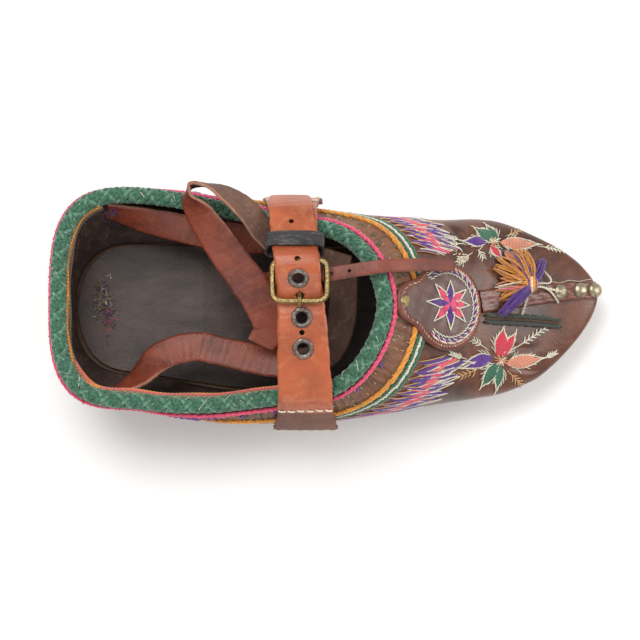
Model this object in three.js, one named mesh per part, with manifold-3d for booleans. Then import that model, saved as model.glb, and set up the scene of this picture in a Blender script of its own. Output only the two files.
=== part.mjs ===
// A flat embroidered leather shoe with a buckled instep strap.
// Millimetres, +Z up, toe towards +X, inner side towards +Y.
// The origin is the middle of the heel's face on the floor.
import * as THREE from "three";
import { mergeVertices } from "three/addons/utils/BufferGeometryUtils.js";
import Module from "manifold-3d";

const wasm = await Module();
wasm.setup();

// Driving sizes of the last
const shoeLength = 247;
const heelBack = 34.5;
const ballWidth = 84;
const collarWidth = 97;
const instepHeight = 61;
const collarHeight = 42;
const toeFanLength = 52.5;
const throatPlace = 113;
const throatDepth = 29;

// Leather and cord
const wall = 2;
const outsoleThick = 5;
const heelLift = 10;
const toeSpring = 6;
const insoleThick = 2.5;
const cordRadius = 3.7;
const clearance = 0.3;

// The sole's own places along the shoe
const heelSeatBack = 30;
const heelBreast = 28;
const ballStart = 100;
const ballEnd = 150;
const soleMargin = 1;

// Roundness of the curves: 2 is an ellipse, more is squarer
const heelRoundness = 3.1;
const heelSeatRoundness = 2.4;
const toeRoundness = 1.55;
const soleToeRoundness = 1.65;
const vaultSide = 2.2;
const vaultTop = 2;
const throatRoundness = 1.75;

// The upper's edge at the sole lies inside its widest outline by this much at the toe's tip.
const toeTuck = 4.5;

const toeTip = shoeLength - heelBack;
const toeCentre = toeTip - toeFanLength;
const throatStart = throatPlace - throatDepth;

const halfTurn = Math.PI;
const quarterTurn = Math.PI / 2;

// Sections from the heel to the toe. along: share of shoeLength ahead of the heel's middle.
// ball, collar: shares of ballWidth and collarWidth that add up to the width at the widest.
// drift: the middle's sideways place, share of ballWidth. rise: height of the widest point
// over the sole, share of collarHeight. ridge: height of the vault over the sole, share of
// instepHeight. tuck: how far the wall comes in at the sole, share of ballWidth.
// belly: 0 for a straight flared wall, 1 for a round one.
const sections = [
  { along: -0.15, ball: 0, collar: 0.98, drift: 0, rise: 0.99, ridge: 0.77, tuck: 0.2, belly: 0.4 },
  { along: 0, ball: 0, collar: 1, drift: 0, rise: 0.95, ridge: 0.8, tuck: 0.2, belly: 0.45 },
  { along: 0.085, ball: 0, collar: 1.02, drift: -0.02, rise: 0.82, ridge: 0.815, tuck: 0.19, belly: 0.5 },
  { along: 0.17, ball: 0, collar: 1.025, drift: -0.043, rise: 0.7, ridge: 0.84, tuck: 0.18, belly: 0.6 },
  { along: 0.34, ball: 0.55, collar: 0.5, drift: -0.062, rise: 0.64, ridge: 1.05, tuck: 0.14, belly: 0.8 },
  { along: 0.453, ball: 1.05, collar: 0, drift: -0.05, rise: 0.54, ridge: 1, tuck: 0.1, belly: 1 },
  { along: 0.567, ball: 1, collar: 0, drift: -0.024, rise: 0.44, ridge: 0.68, tuck: 0.085, belly: 1 },
  { along: 0.648, ball: 0.965, collar: 0, drift: 0, rise: 0.37, ridge: 0.49, tuck: 0.08, belly: 1 },
  { along: 0.753, ball: 0.8, collar: 0, drift: 0.012, rise: 0.26, ridge: 0.315, tuck: 0.075, belly: 1 },
  { along: 0.86, ball: 0.5, collar: 0, drift: 0.075, rise: 0.14, ridge: 0.18, tuck: 0.06, belly: 1 },
];

// How far in from the widest outline the collar's cord runs. along: share of shoeLength.
const collarLine = [
  { along: -0.15, reach: 0.93 },
  { along: 0, reach: 0.965 },
  { along: 0.085, reach: 0.945 },
  { along: 0.17, reach: 0.89 },
  { along: 0.263, reach: 0.83 },
  { along: 0.34, reach: 0.785 },
];

// Smooth value of one column of a table at a share along it.
function tableAt(table, column, along) {
  const last = table.length - 1;
  const place = Math.min(Math.max(along, table[0].along), table[last].along);
  let i = 0;
  while (i < last - 1 && table[i + 1].along < place) i++;
  const slopeAt = (k) => {
    const before = table[Math.max(k - 1, 0)];
    const after = table[Math.min(k + 1, last)];
    return (after[column] - before[column]) / (after.along - before.along);
  };
  const span = table[i + 1].along - table[i].along;
  const t = (place - table[i].along) / span;
  const start = (1 + 2 * t) * (1 - t) ** 2 * table[i][column];
  const end = t * t * (3 - 2 * t) * table[i + 1][column];
  const bends = t * (1 - t) ** 2 * slopeAt(i) - t * t * (1 - t) * slopeAt(i + 1);
  return start + end + bends * span;
}

const section = (column, x) => tableAt(sections, column, x / shoeLength);
const halfWidth = (x) => (section("ball", x) * ballWidth + section("collar", x) * collarWidth) / 2;
const middle = (x) => section("drift", x) * ballWidth;
const footHalf = (x) => halfWidth(x) - section("tuck", x) * ballWidth;

function eased(t) {
  const s = Math.min(Math.max(t, 0), 1);
  return s * s * (3 - 2 * s);
}

// Underside of the outsole over the floor: heel seat, arch, flat forefoot, toe spring.
function soleUnder(x) {
  const arch = heelLift * (1 - eased((x - heelBreast) / (ballStart - heelBreast)));
  const spring = Math.max(x - ballEnd, 0) / (toeTip - ballEnd);
  return arch + toeSpring * spring ** 2;
}

const soleTop = (x) => soleUnder(x) + outsoleThick;
const featherHeight = (x) => soleTop(x) + clearance;
const widestHeight = (x) => featherHeight(x) + section("rise", x) * collarHeight;
const ridgeHeight = (x) => featherHeight(x) + section("ridge", x) * instepHeight;

// Distance from the middle of an oval to its edge, at an angle from its long axis.
function ovalReach(angle, along, across, roundness) {
  const a = Math.abs(Math.cos(angle)) / along;
  const b = Math.abs(Math.sin(angle)) / across;
  return (a ** roundness + b ** roundness) ** (-1 / roundness);
}

// The toe's point is a little blunt.
const toeBlunt = 0.06;

// The outline seen from the spine: its centre, direction, reach and the reach of the edge
// at the sole, for a plan point whose side distance is measured from the middle line.
function outlineFrom(x, side) {
  const sign = side < 0 ? -1 : 1;
  if (x > toeCentre) {
    const angle = Math.atan2(Math.abs(side), x - toeCentre);
    const seen = Math.hypot(angle, toeBlunt * Math.cos(angle));
    const reach = ovalReach(seen, toeFanLength, halfWidth(toeCentre), toeRoundness);
    const foot = ovalReach(seen, toeFanLength - toeTuck, footHalf(toeCentre), soleToeRoundness);
    return { centre: toeCentre, dx: Math.cos(angle), dy: sign * Math.sin(angle), reach, foot };
  }
  if (x < 0) {
    const angle = Math.atan2(Math.abs(side), -x);
    const reach = ovalReach(angle, heelBack, halfWidth(0), heelRoundness);
    const foot = ovalReach(angle, heelSeatBack - soleMargin, footHalf(0), heelSeatRoundness);
    return { centre: 0, dx: -Math.cos(angle), dy: sign * Math.sin(angle), reach, foot };
  }
  return { centre: x, dx: 0, dy: sign, reach: halfWidth(x), foot: footHalf(x) };
}

// A point of the upper. u and v are the plan place with the vault unrolled: the widest
// outline lies at its own reach, the edge at the sole at twice that. depth goes inwards.
function upperPoint(u, v, depth) {
  const o = outlineFrom(u, v);
  const turn = Math.hypot(u - o.centre, v) / o.reach;
  const edge = o.centre + o.reach * o.dx;
  const widest = widestHeight(edge);
  if (turn <= 1) {
    const r = (o.reach - depth) * Math.sin(turn * quarterTurn) ** (2 / vaultSide);
    const x = o.centre + r * o.dx;
    const rise = Math.max(ridgeHeight(x) - depth - widest, 0);
    const z = widest + rise * Math.cos(turn * quarterTurn) ** (2 / vaultTop);
    return new THREE.Vector3(x, r * o.dy + middle(x), z);
  }
  const k = Math.min(turn - 1, 1);
  const belly = section("belly", edge);
  const angle = k * quarterTurn;
  const inward = (1 - belly) * k + belly * (1 - Math.cos(angle));
  const down = (1 - belly) * k + belly * Math.sin(angle);
  const r = o.reach - depth * Math.cos(angle * belly) - (o.reach - o.foot) * inward;
  const x = o.centre + r * o.dx;
  const lift = depth * Math.sin(angle * belly);
  const z = widest + (featherHeight(x) - widest) * down + lift;
  return new THREE.Vector3(x, r * o.dy + middle(x), z);
}

// The unrolled place of a true plan point on the vault.
function unrolled(x, y) {
  const side = y - middle(x);
  const o = outlineFrom(x, side);
  const share = Math.min(Math.hypot(x - o.centre, side) / o.reach, 1);
  const turn = Math.asin(share ** (vaultSide / 2)) / quarterTurn;
  const r = turn * o.reach;
  return { u: o.centre + r * o.dx, v: r * o.dy };
}

// A point on the vault at a true plan place, lifted off the leather.
function vaultPoint(x, y, lift) {
  const step = 0.5;
  const at = (px, py) => {
    const d = unrolled(px, py);
    return upperPoint(d.u, d.v, 0);
  };
  const p = at(x, y);
  const ax = at(x + step, y).sub(at(x - step, y));
  const ay = at(x, y + step).sub(at(x, y - step));
  const normal = ax.cross(ay).normalize();
  return p.addScaledVector(normal, lift);
}

// count + 1 points at equal steps along a run of points.
function evenly(points, count) {
  const lengths = [0];
  for (let i = 1; i < points.length; i++) {
    lengths.push(lengths[i - 1] + points[i].distanceTo(points[i - 1]));
  }
  const total = lengths[lengths.length - 1];
  const out = [];
  let i = 0;
  for (let n = 0; n <= count; n++) {
    const want = (total * n) / count;
    while (i < points.length - 2 && lengths[i + 1] < want) i++;
    const t = (want - lengths[i]) / (lengths[i + 1] - lengths[i]);
    out.push(points[i].clone().lerp(points[i + 1], t));
  }
  return out;
}

// A closed solid through rings of equal count. A joined solid closes on its first ring.
function skin(rings, joined = false) {
  const count = rings[0].length;
  const points = rings.flat();
  const faces = [];
  const rounds = joined ? rings.length : rings.length - 1;
  for (let r = 0; r < rounds; r++) {
    const a = r * count;
    const b = ((r + 1) % rings.length) * count;
    for (let i = 0; i < count; i++) {
      const j = (i + 1) % count;
      faces.push(a + i, a + j, b + i, a + j, b + j, b + i);
    }
  }
  if (!joined) {
    const ends = [rings[0], rings[rings.length - 1]];
    ends.forEach((ring, e) => {
      const centre = new THREE.Vector3();
      ring.forEach((p) => centre.addScaledVector(p, 1 / count));
      const c = points.push(centre) - 1;
      const base = e * (rings.length - 1) * count;
      for (let i = 0; i < count; i++) {
        const j = (i + 1) % count;
        if (e === 0) faces.push(c, base + j, base + i);
        else faces.push(c, base + i, base + j);
      }
    });
  }
  const geometry = new THREE.BufferGeometry().setFromPoints(points);
  geometry.setIndex(faces);
  return facedOut(geometry);
}

// The same geometry with its faces pointing out.
function facedOut(geometry) {
  const p = geometry.attributes.position;
  const index = geometry.index;
  const [a, b, c] = [new THREE.Vector3(), new THREE.Vector3(), new THREE.Vector3()];
  let volume = 0;
  for (let i = 0; i < index.count; i += 3) {
    a.fromBufferAttribute(p, index.getX(i));
    b.fromBufferAttribute(p, index.getX(i + 1));
    c.fromBufferAttribute(p, index.getX(i + 2));
    volume += a.dot(b.cross(c));
  }
  if (volume < 0) {
    for (let i = 0; i < index.count; i += 3) {
      const second = index.getX(i + 1);
      index.setX(i + 1, index.getX(i + 2));
      index.setX(i + 2, second);
    }
  }
  return geometry;
}

// Solids for joining and cutting.
function solidOf(geometry) {
  const bare = mergeVertices(new THREE.BufferGeometry()
    .setAttribute("position", geometry.attributes.position)
    .setIndex(geometry.index));
  return new wasm.Manifold(new wasm.Mesh({
    numProp: 3,
    vertProperties: new Float32Array(bare.attributes.position.array),
    triVerts: new Uint32Array(bare.index.array),
  }));
}

function geometryOf(solid) {
  const mesh = solid.getMesh();
  const geometry = new THREE.BufferGeometry();
  geometry.setAttribute("position", new THREE.BufferAttribute(mesh.vertProperties, 3));
  geometry.setIndex(new THREE.BufferAttribute(mesh.triVerts, 1));
  return geometry;
}

const carved = (whole, ...tools) =>
  geometryOf(tools.reduce((left, t) => left.subtract(solidOf(t)), solidOf(whole)));
const fused = (first, ...others) =>
  geometryOf(others.reduce((sum, t) => sum.add(solidOf(t)), solidOf(first)));

const colour = {
  vamp: { color: 0x5e3526, roughness: 0.38, metalness: 0 },
  sole: { color: 0x6b4c34, roughness: 0.8, metalness: 0 },
  heel: { color: 0x4a3226, roughness: 0.8, metalness: 0 },
  insole: { color: 0x4a3c38, roughness: 0.75, metalness: 0 },
  cord: { color: 0x3f7d5e, roughness: 0.9, metalness: 0 },
  medallion: { color: 0x6e3128, roughness: 0.35, metalness: 0 },
  seam: { color: 0x2c241d, roughness: 0.6, metalness: 0 },
  brass: { color: 0xa8a37a, roughness: 0.4, metalness: 0.8 },
  buckle: { color: 0x8b7a55, roughness: 0.45, metalness: 0.8 },
  eyelet: { color: 0x8c8480, roughness: 0.4, metalness: 0.8 },
  strap: { color: 0xc4663c, roughness: 0.5, metalness: 0 },
  ankleStrap: { color: 0x9a4e36, roughness: 0.55, metalness: 0 },
  keeper: { color: 0x3b3a3f, roughness: 0.6, metalness: 0 },
  tassel: { color: 0xe0892b, roughness: 0.9, metalness: 0 },
};

const shoe = new THREE.Group();
shoe.name = "leather_shoe";

function add(name, geometry, finish) {
  const mesh = new THREE.Mesh(geometry, new THREE.MeshStandardMaterial(finish));
  mesh.name = name;
  shoe.add(mesh);
  return mesh;
}

// Half the outsole's width at a place along it.
const soleToeReach = toeFanLength - toeTuck + soleMargin;
function soleHalf(x) {
  if (x < 0) {
    const share = Math.min(-x / heelSeatBack, 1);
    const full = footHalf(0) + soleMargin;
    return full * (1 - share ** heelSeatRoundness) ** (1 / heelSeatRoundness);
  }
  if (x > toeCentre) {
    const share = Math.min((x - toeCentre) / soleToeReach, 1);
    const full = footHalf(toeCentre) + soleMargin;
    return full * (1 - share ** soleToeRoundness) ** (1 / soleToeRoundness);
  }
  return footHalf(x) + soleMargin;
}

// Places along a plate, close together at its rounded ends.
function plateStations(start, end, count, endsRound) {
  const out = [];
  for (let i = 0; i <= count; i++) {
    const t = i / count;
    const share = endsRound ? (1 - Math.cos(t * halfTurn)) / 2 : 1 - Math.cos(t * quarterTurn);
    out.push(start + (end - start) * share);
  }
  return out;
}

// A leather plate between two heights, with a half width at each place along it.
function plate(stations, half, low, high) {
  const rings = stations.map((x) => {
    const w = Math.max(half(x), 1);
    const y = middle(x);
    return [
      new THREE.Vector3(x, y - w, low(x)),
      new THREE.Vector3(x, y + w, low(x)),
      new THREE.Vector3(x, y + w, high(x)),
      new THREE.Vector3(x, y - w, high(x)),
    ];
  });
  return skin(rings);
}

// Outsole
const soleFront = toeCentre + soleToeReach;
const soleSteps = 44;
const soleStations = plateStations(-heelSeatBack, soleFront, soleSteps, true);
add("outsole", plate(soleStations, soleHalf, soleUnder, soleTop), colour.sole);

// Heel of stacked lifts, a little inside the sole's edge
const heelInset = 0.6;
const heelStations = plateStations(-heelSeatBack + heelInset, heelBreast, 16, false);
const heelHalf = (x) => {
  const place = (x * heelSeatBack) / (heelSeatBack - heelInset);
  return soleHalf(Math.min(place, heelBreast)) - heelInset;
};
add("heel", plate(heelStations, heelHalf, () => 0, () => heelLift - clearance), colour.heel);

// The upper: ribs from the sole's edge up the wall and over the vault to the collar.
const heelRibs = 8;
const sideRibs = 8;
const frontRibs = 36;
const wallSteps = 4;
const vaultSteps = 8;
const vaultGrading = 1.4;
const denseWall = 10;
const denseVault = 40;

const collarReach = (x) => tableAt(collarLine, "reach", x / shoeLength);

// The widest outline and the cord's line in front of the throat's start, from the inner
// side round the toe to the outer side.
function frontOutline() {
  const points = [];
  const steps = 60;
  for (let i = 0; i <= steps; i++) {
    const x = throatStart + ((toeCentre - throatStart) * i) / steps;
    points.push(new THREE.Vector3(x, halfWidth(x), 0));
  }
  for (let i = 1; i < steps; i++) {
    const angle = quarterTurn - (halfTurn * i) / steps;
    const far = toeCentre + Math.cos(angle);
    const o = outlineFrom(far, Math.sin(angle));
    points.push(new THREE.Vector3(toeCentre + o.reach * o.dx, o.reach * o.dy, 0));
  }
  for (let i = steps; i >= 0; i--) {
    const x = throatStart + ((toeCentre - throatStart) * i) / steps;
    points.push(new THREE.Vector3(x, -halfWidth(x), 0));
  }
  return points;
}

function frontCollar() {
  const points = [];
  const steps = 120;
  const half = halfWidth(throatStart) * collarReach(throatStart);
  for (let i = 0; i <= steps; i++) {
    const angle = (halfTurn * i) / steps;
    const x = throatStart + throatDepth * Math.abs(Math.sin(angle)) ** (2 / throatRoundness);
    const side = half * Math.abs(Math.cos(angle)) ** (2 / throatRoundness);
    points.push(new THREE.Vector3(x, i > steps / 2 ? -side : side, 0));
  }
  return points;
}

// Each rib's two ends, in unrolled plan places: the widest outline and the cord's middle.
function ribEnds() {
  const ends = [];
  const collarAt = (x, side) => unrolled(x, side + middle(x));
  const sideRib = (x, sign) => {
    const half = halfWidth(x);
    ends.push({ wide: { u: x, v: sign * half }, top: collarAt(x, sign * half * collarReach(x)) });
  };
  const heelRib = (angle, sign) => {
    const reach = ovalReach(angle, heelBack, halfWidth(0), heelRoundness);
    const [x, side] = [-reach * Math.cos(angle), sign * reach * Math.sin(angle)];
    const share = collarReach(x);
    ends.push({ wide: { u: x, v: side }, top: collarAt(x * share, side * share) });
  };
  for (let i = 0; i < heelRibs; i++) heelRib((quarterTurn * i) / heelRibs, 1);
  for (let i = 0; i < sideRibs; i++) sideRib((throatStart * i) / sideRibs, 1);
  const wide = evenly(frontOutline(), frontRibs);
  const top = evenly(frontCollar(), frontRibs);
  for (let i = 0; i <= frontRibs; i++) {
    ends.push({ wide: { u: wide[i].x, v: wide[i].y }, top: collarAt(top[i].x, top[i].y) });
  }
  for (let i = sideRibs - 1; i > 0; i--) sideRib((throatStart * i) / sideRibs, -1);
  for (let i = heelRibs; i > 0; i--) heelRib((quarterTurn * i) / heelRibs, -1);
  return ends;
}

// Place on a rib: share -1 at the sole, 0 at the widest, 1 at the cord.
function onRib({ wide, top }, share) {
  if (share > 0) {
    return [wide.u + (top.u - wide.u) * share, wide.v + (top.v - wide.v) * share];
  }
  const o = outlineFrom(wide.u, wide.v);
  const r = o.reach * (1 - share);
  return [o.centre + r * o.dx, r * o.dy];
}

// Shares from the sole to the widest and on to a distance short of the cord's middle, by
// length, closer together near the widest.
function ribShares(rib, shortOf) {
  const run = (first, last, steps, count, cut, grading) => {
    const shares = [];
    for (let i = 0; i <= steps; i++) shares.push(first + ((last - first) * i) / steps);
    const points = shares.map((s) => upperPoint(...onRib(rib, s), 0));
    const lengths = [0];
    for (let i = 1; i < points.length; i++) {
      lengths.push(lengths[i - 1] + points[i].distanceTo(points[i - 1]));
    }
    const end = lengths[steps] - cut;
    const out = [];
    let i = 0;
    for (let n = 0; n <= count; n++) {
      const want = end * (n / count) ** grading;
      while (i < steps - 1 && lengths[i + 1] < want) i++;
      const t = (want - lengths[i]) / Math.max(lengths[i + 1] - lengths[i], 1e-6);
      out.push(shares[i] + (shares[i + 1] - shares[i]) * t);
    }
    return out;
  };
  const low = run(-1, 0, denseWall, wallSteps, 0, 1);
  const high = run(0, 1, denseVault, vaultSteps, shortOf, vaultGrading);
  return [...low, ...high.slice(1)];
}

// A tube of round section round a closed run of points.
function closedTube(centres, radius, sides) {
  const count = centres.length;
  const up = new THREE.Vector3(0, 0, 1);
  const rings = centres.map((c, i) => {
    const ahead = centres[(i + 1) % count];
    const behind = centres[(i + count - 1) % count];
    const along = ahead.clone().sub(behind).normalize();
    const side = along.clone().cross(up).normalize();
    const over = side.clone().cross(along).normalize();
    const ring = [];
    for (let s = 0; s < sides; s++) {
      const angle = (2 * halfTurn * s) / sides;
      const p = c.clone().addScaledVector(side, radius * Math.cos(angle));
      ring.push(p.addScaledVector(over, radius * Math.sin(angle)));
    }
    return ring;
  });
  return skin(rings, true);
}

const ribs = ribEnds();
const cordLine = ribs.map((rib) => upperPoint(...onRib(rib, 1), wall / 2));
cordLine.push(cordLine[0].clone());
const cordSteps = 64;
const cordCentres = evenly(cordLine, cordSteps).slice(0, cordSteps);

// The leather's edge hugs the cord.
const upperRings = ribs.map((rib) => {
  const shares = ribShares(rib, cordRadius / 2);
  const outer = shares.map((s) => upperPoint(...onRib(rib, s), 0));
  const inner = shares.map((s) => upperPoint(...onRib(rib, s), wall));
  return [...outer, ...inner.reverse()];
});
const cordSeat = closedTube(cordCentres, cordRadius + clearance, 8);
add("upper", carved(skin(upperRings, true), cordSeat), colour.vamp);

// The braided cord sewn along the collar's edge
add("collar_cord", closedTube(cordCentres, cordRadius, 8), colour.cord);

// Insole, inside the upper's foot and on the outsole
const insoleEase = 0.8;
const insoleGap = wall + soleMargin + insoleEase;
const insoleStations = plateStations(
  -heelSeatBack + insoleGap,
  soleFront - insoleGap * 2,
  36,
  true,
);
const insoleHalf = (x) => {
  let place = x;
  if (x < 0) place = (x * heelSeatBack) / (heelSeatBack - insoleGap);
  if (x > toeCentre) {
    place = toeCentre + ((x - toeCentre) * soleToeReach) / (soleToeReach - insoleGap * 2);
  }
  return soleHalf(place) - insoleGap;
};
const insoleUnder = (x) => soleTop(x) + clearance;
const insoleOver = (x) => insoleUnder(x) + insoleThick;
add("insole", plate(insoleStations, insoleHalf, insoleUnder, insoleOver), colour.insole);

// A band that follows the vault along a line of plan places. half gives its half width at
// a share along it. Its top is a little narrower than its underside.
const bandColumns = 4;
function vaultBand(line, half, low, high, shoulder) {
  const rings = line.map(({ x, y }, i) => {
    const ahead = line[Math.min(i + 1, line.length - 1)];
    const behind = line[Math.max(i - 1, 0)];
    const run = Math.hypot(ahead.x - behind.x, ahead.y - behind.y);
    const sx = -(ahead.y - behind.y) / run;
    const sy = (ahead.x - behind.x) / run;
    const w = half(i / (line.length - 1));
    const ring = [];
    for (let c = 0; c <= bandColumns; c++) {
      const d = w * ((2 * c) / bandColumns - 1);
      ring.push(vaultPoint(x + sx * d, y + sy * d, low));
    }
    for (let c = bandColumns; c >= 0; c--) {
      const share = (2 * c) / bandColumns - 1;
      const d = (w - shoulder) * share;
      ring.push(vaultPoint(x + sx * d, y + sy * d, high - shoulder * share * share));
    }
    return ring;
  });
  return skin(rings);
}

// Round medallion with a lobe towards the throat, sewn flat on the vamp
const medallionRadius = 19.6;
const medallionThick = 2;
const medallionGap = 0.6;
const medallionPlace = 0.566;
const medallionSide = -0.03;
const lobeReach = 7.2;
const lobeSpread = 0.42;
const medallionX = medallionPlace * shoeLength;
const medallionY = medallionSide * ballWidth;

// Direction of the medallion's slope towards the toe.
const slopeStep = 4;
const slopeAhead = vaultPoint(medallionX + slopeStep, medallionY, 0)
  .sub(vaultPoint(medallionX - slopeStep, medallionY, 0)).normalize();
const medallionSlope = slopeAhead.x;

// Plan place of a medallion point at a share of its edge and an angle from the toe.
function medallionPlan(share, angle) {
  const fromLobe = Math.abs(Math.abs(angle) - halfTurn);
  const reach = medallionRadius + lobeReach * Math.exp(-((fromLobe / lobeSpread) ** 4));
  const r = reach * share;
  return [medallionX + r * Math.cos(angle) * medallionSlope, medallionY + r * Math.sin(angle)];
}

function medallion() {
  const under = [0.15, 0.5, 0.97, 1].map((share) => ({ share, lift: medallionGap }));
  const over = [1, 0.97, 0.5, 0.15].map((share, i) => ({
    share,
    lift: medallionGap + medallionThick - (i === 0 ? 0.6 : 0),
  }));
  const steps = 28;
  const rings = [...under, ...over].map(({ share, lift }) => {
    const ring = [];
    for (let s = 0; s < steps; s++) {
      const angle = -halfTurn + (2 * halfTurn * s) / steps;
      ring.push(vaultPoint(...medallionPlan(share, angle), lift));
    }
    return ring;
  });
  return skin(rings);
}
add("medallion", medallion(), colour.medallion);

// A low round-headed nail, standing along a direction.
function stud(place, direction, radius, height) {
  const profile = [new THREE.Vector2(0, 0)];
  const steps = 4;
  for (let i = 0; i <= steps; i++) {
    const angle = (quarterTurn * i) / steps;
    profile.push(new THREE.Vector2(radius * Math.cos(angle), height * Math.sin(angle)));
  }
  profile[profile.length - 1].x = 0;
  const geometry = new THREE.LatheGeometry(profile, 12);
  const turn = new THREE.Quaternion().setFromUnitVectors(new THREE.Vector3(0, 1, 0), direction);
  geometry.applyQuaternion(turn);
  geometry.translate(place.x, place.y, place.z);
  return geometry;
}

function vaultStud(x, y, over, radius, height) {
  const seat = vaultPoint(x, y, over);
  const direction = vaultPoint(x, y, over + 1).sub(seat).normalize();
  return stud(seat, direction, radius, height);
}

const rivetRadius = 2.6;
const rivetHeight = 1.2;
const seatSag = 0.15;
const [rivetX, rivetY] = medallionPlan(0.86, halfTurn);
add(
  "medallion_rivet",
  vaultStud(rivetX, rivetY, medallionThick + medallionGap + clearance, rivetRadius, rivetHeight),
  colour.brass,
);

// The strip of leather down the toe, from the medallion to the tip.
// along: share of the length from the heel's middle to the toe's tip. side: of ballWidth.
const stripLine = [
  { along: 0.737, side: 0.008 },
  { along: 0.802, side: 0.038 },
  { along: 0.866, side: 0.066 },
  { along: 0.912, side: 0.083 },
  { along: 0.96, side: 0.095 },
  { along: 0.989, side: 0.097 },
];
const stripHalf = 5.4;
const stripTipHalf = 4.1;
const stripThick = 1.2;

// Plan places at even steps along a line table, moved sideways by a distance.
function lineOnVault(table, steps, aside = 0) {
  const out = [];
  const first = table[0].along;
  const last = table[table.length - 1].along;
  for (let i = 0; i <= steps; i++) {
    const along = first + ((last - first) * i) / steps;
    out.push({ x: along * toeTip, y: tableAt(table, "side", along) * ballWidth + aside });
  }
  return out;
}

const stripWidthAt = (share) => stripHalf + (stripTipHalf - stripHalf) * share;
add(
  "toe_strip",
  vaultBand(lineOnVault(stripLine, 22), stripWidthAt, clearance, clearance + stripThick, 0.4),
  colour.vamp,
);

// Three studs down the strip
const studRadius = 3.3;
const studHeight = 2;
const studPlaces = [0.911, 0.956, 0.987];
studPlaces.forEach((along, i) => {
  const over = stripThick + 2 * clearance + seatSag;
  const y = tableAt(stripLine, "side", along) * ballWidth;
  const geometry = vaultStud(along * toeTip, y, over, studRadius, studHeight);
  add("toe_stud_" + (i + 1), geometry, colour.brass);
});

// Two raised seams beside the strip, on its outer side
const seamLine = [
  { along: 0.745, side: -0.063 },
  { along: 0.8, side: -0.06 },
  { along: 0.86, side: -0.062 },
  { along: 0.915, side: -0.07 },
];
const seamHalf = 1.2;
const seamHeight = 1.6;
const seamSpacing = 3.2;
const seamShoulder = 0.4;
const seamTaper = 0.4;
["toe_seam_upper", "toe_seam_lower"].forEach((name, i) => {
  const line = lineOnVault(seamLine, 14, -seamSpacing * i);
  const half = (share) => seamHalf * (1 - seamTaper * Math.abs(2 * share - 1) ** 3);
  add(name, vaultBand(line, half, clearance, clearance + seamHeight, seamShoulder), colour.seam);
});

// A flat strap along a smooth run through its rows. along: share of shoeLength. side: share
// of ballWidth from the middle of the heel. up: height over the heel seat, share of
// collarHeight. lean: degrees that its width tips up from level. wide: share of its width.
function strapFrames(rows, steps, across = null) {
  const curve = new THREE.CatmullRomCurve3(
    rows.map((r) => new THREE.Vector3(
      r.along * shoeLength,
      r.side * ballWidth,
      heelLift + outsoleThick + r.up * collarHeight,
    )),
    false,
    "centripetal",
  );
  const up = new THREE.Vector3(0, 0, 1);
  const frames = [];
  for (let i = 0; i <= steps; i++) {
    const t = i / steps;
    const place = t * (rows.length - 1);
    const k = Math.min(Math.floor(place), rows.length - 2);
    const mix = (column) => rows[k][column] + (rows[k + 1][column] - rows[k][column]) * (place - k);
    const along = curve.getTangent(t);
    const lean = (mix("lean") * halfTurn) / 180;
    const level = across ? across.clone() : along.clone().cross(up).normalize();
    const width = level.multiplyScalar(Math.cos(lean)).addScaledVector(up, Math.sin(lean));
    width.addScaledVector(along, -width.dot(along)).normalize();
    const face = width.clone().cross(along).normalize();
    frames.push({ centre: curve.getPoint(t), width, face, wide: mix("wide") });
  }
  return frames;
}

function strap(frames, fullWidth, thick) {
  const rings = frames.map(({ centre, width, face, wide }) => {
    const half = (fullWidth * wide) / 2;
    const corner = (a, b) =>
      centre.clone().addScaledVector(width, a * half).addScaledVector(face, (b * thick) / 2);
    return [corner(-1, -1), corner(1, -1), corner(1, 1), corner(-1, 1)];
  });
  return skin(rings);
}

// Instep strap. The billet rises from the outer wall, crosses the collar and runs through
// the buckle to the inner side; the buckle's own strap comes up from the inner wall.
const strapThick = 2.2;
const strapWidth = 24.5;
const alongShoe = new THREE.Vector3(-1, 0, 0);
const billetRows = [
  { along: 0.316, side: -0.662, up: 0.43, lean: 0, wide: 1.18 },
  { along: 0.316, side: -0.664, up: 0.56, lean: 0, wide: 1.16 },
  { along: 0.316, side: -0.644, up: 0.73, lean: 0, wide: 1.1 },
  { along: 0.316, side: -0.612, up: 0.89, lean: 0, wide: 1.02 },
  { along: 0.316, side: -0.584, up: 1.02, lean: 0, wide: 1 },
  { along: 0.316, side: -0.55, up: 1.125, lean: 0, wide: 1 },
  { along: 0.316, side: -0.5, up: 1.165, lean: 0, wide: 0.98 },
  { along: 0.314, side: -0.41, up: 1.225, lean: 0, wide: 0.96 },
  { along: 0.312, side: -0.25, up: 1.31, lean: 0, wide: 0.92 },
  { along: 0.31, side: -0.13, up: 1.345, lean: 0, wide: 0.88 },
  { along: 0.308, side: -0.05, up: 1.355, lean: 0, wide: 0.85 },
  { along: 0.305, side: 0.04, up: 1.43, lean: 0, wide: 0.81 },
  { along: 0.303, side: 0.11, up: 1.515, lean: 0, wide: 0.81 },
  { along: 0.3, side: 0.18, up: 1.515, lean: 0, wide: 0.81 },
  { along: 0.297, side: 0.25, up: 1.405, lean: 0, wide: 0.81 },
  { along: 0.294, side: 0.33, up: 1.325, lean: 0, wide: 0.81 },
  { along: 0.291, side: 0.41, up: 1.235, lean: 0, wide: 0.81 },
  { along: 0.289, side: 0.465, up: 1.155, lean: 0, wide: 0.81 },
  { along: 0.288, side: 0.51, up: 1.02, lean: 0, wide: 0.8 },
  { along: 0.287, side: 0.545, up: 0.87, lean: 0, wide: 0.72 },
];
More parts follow.
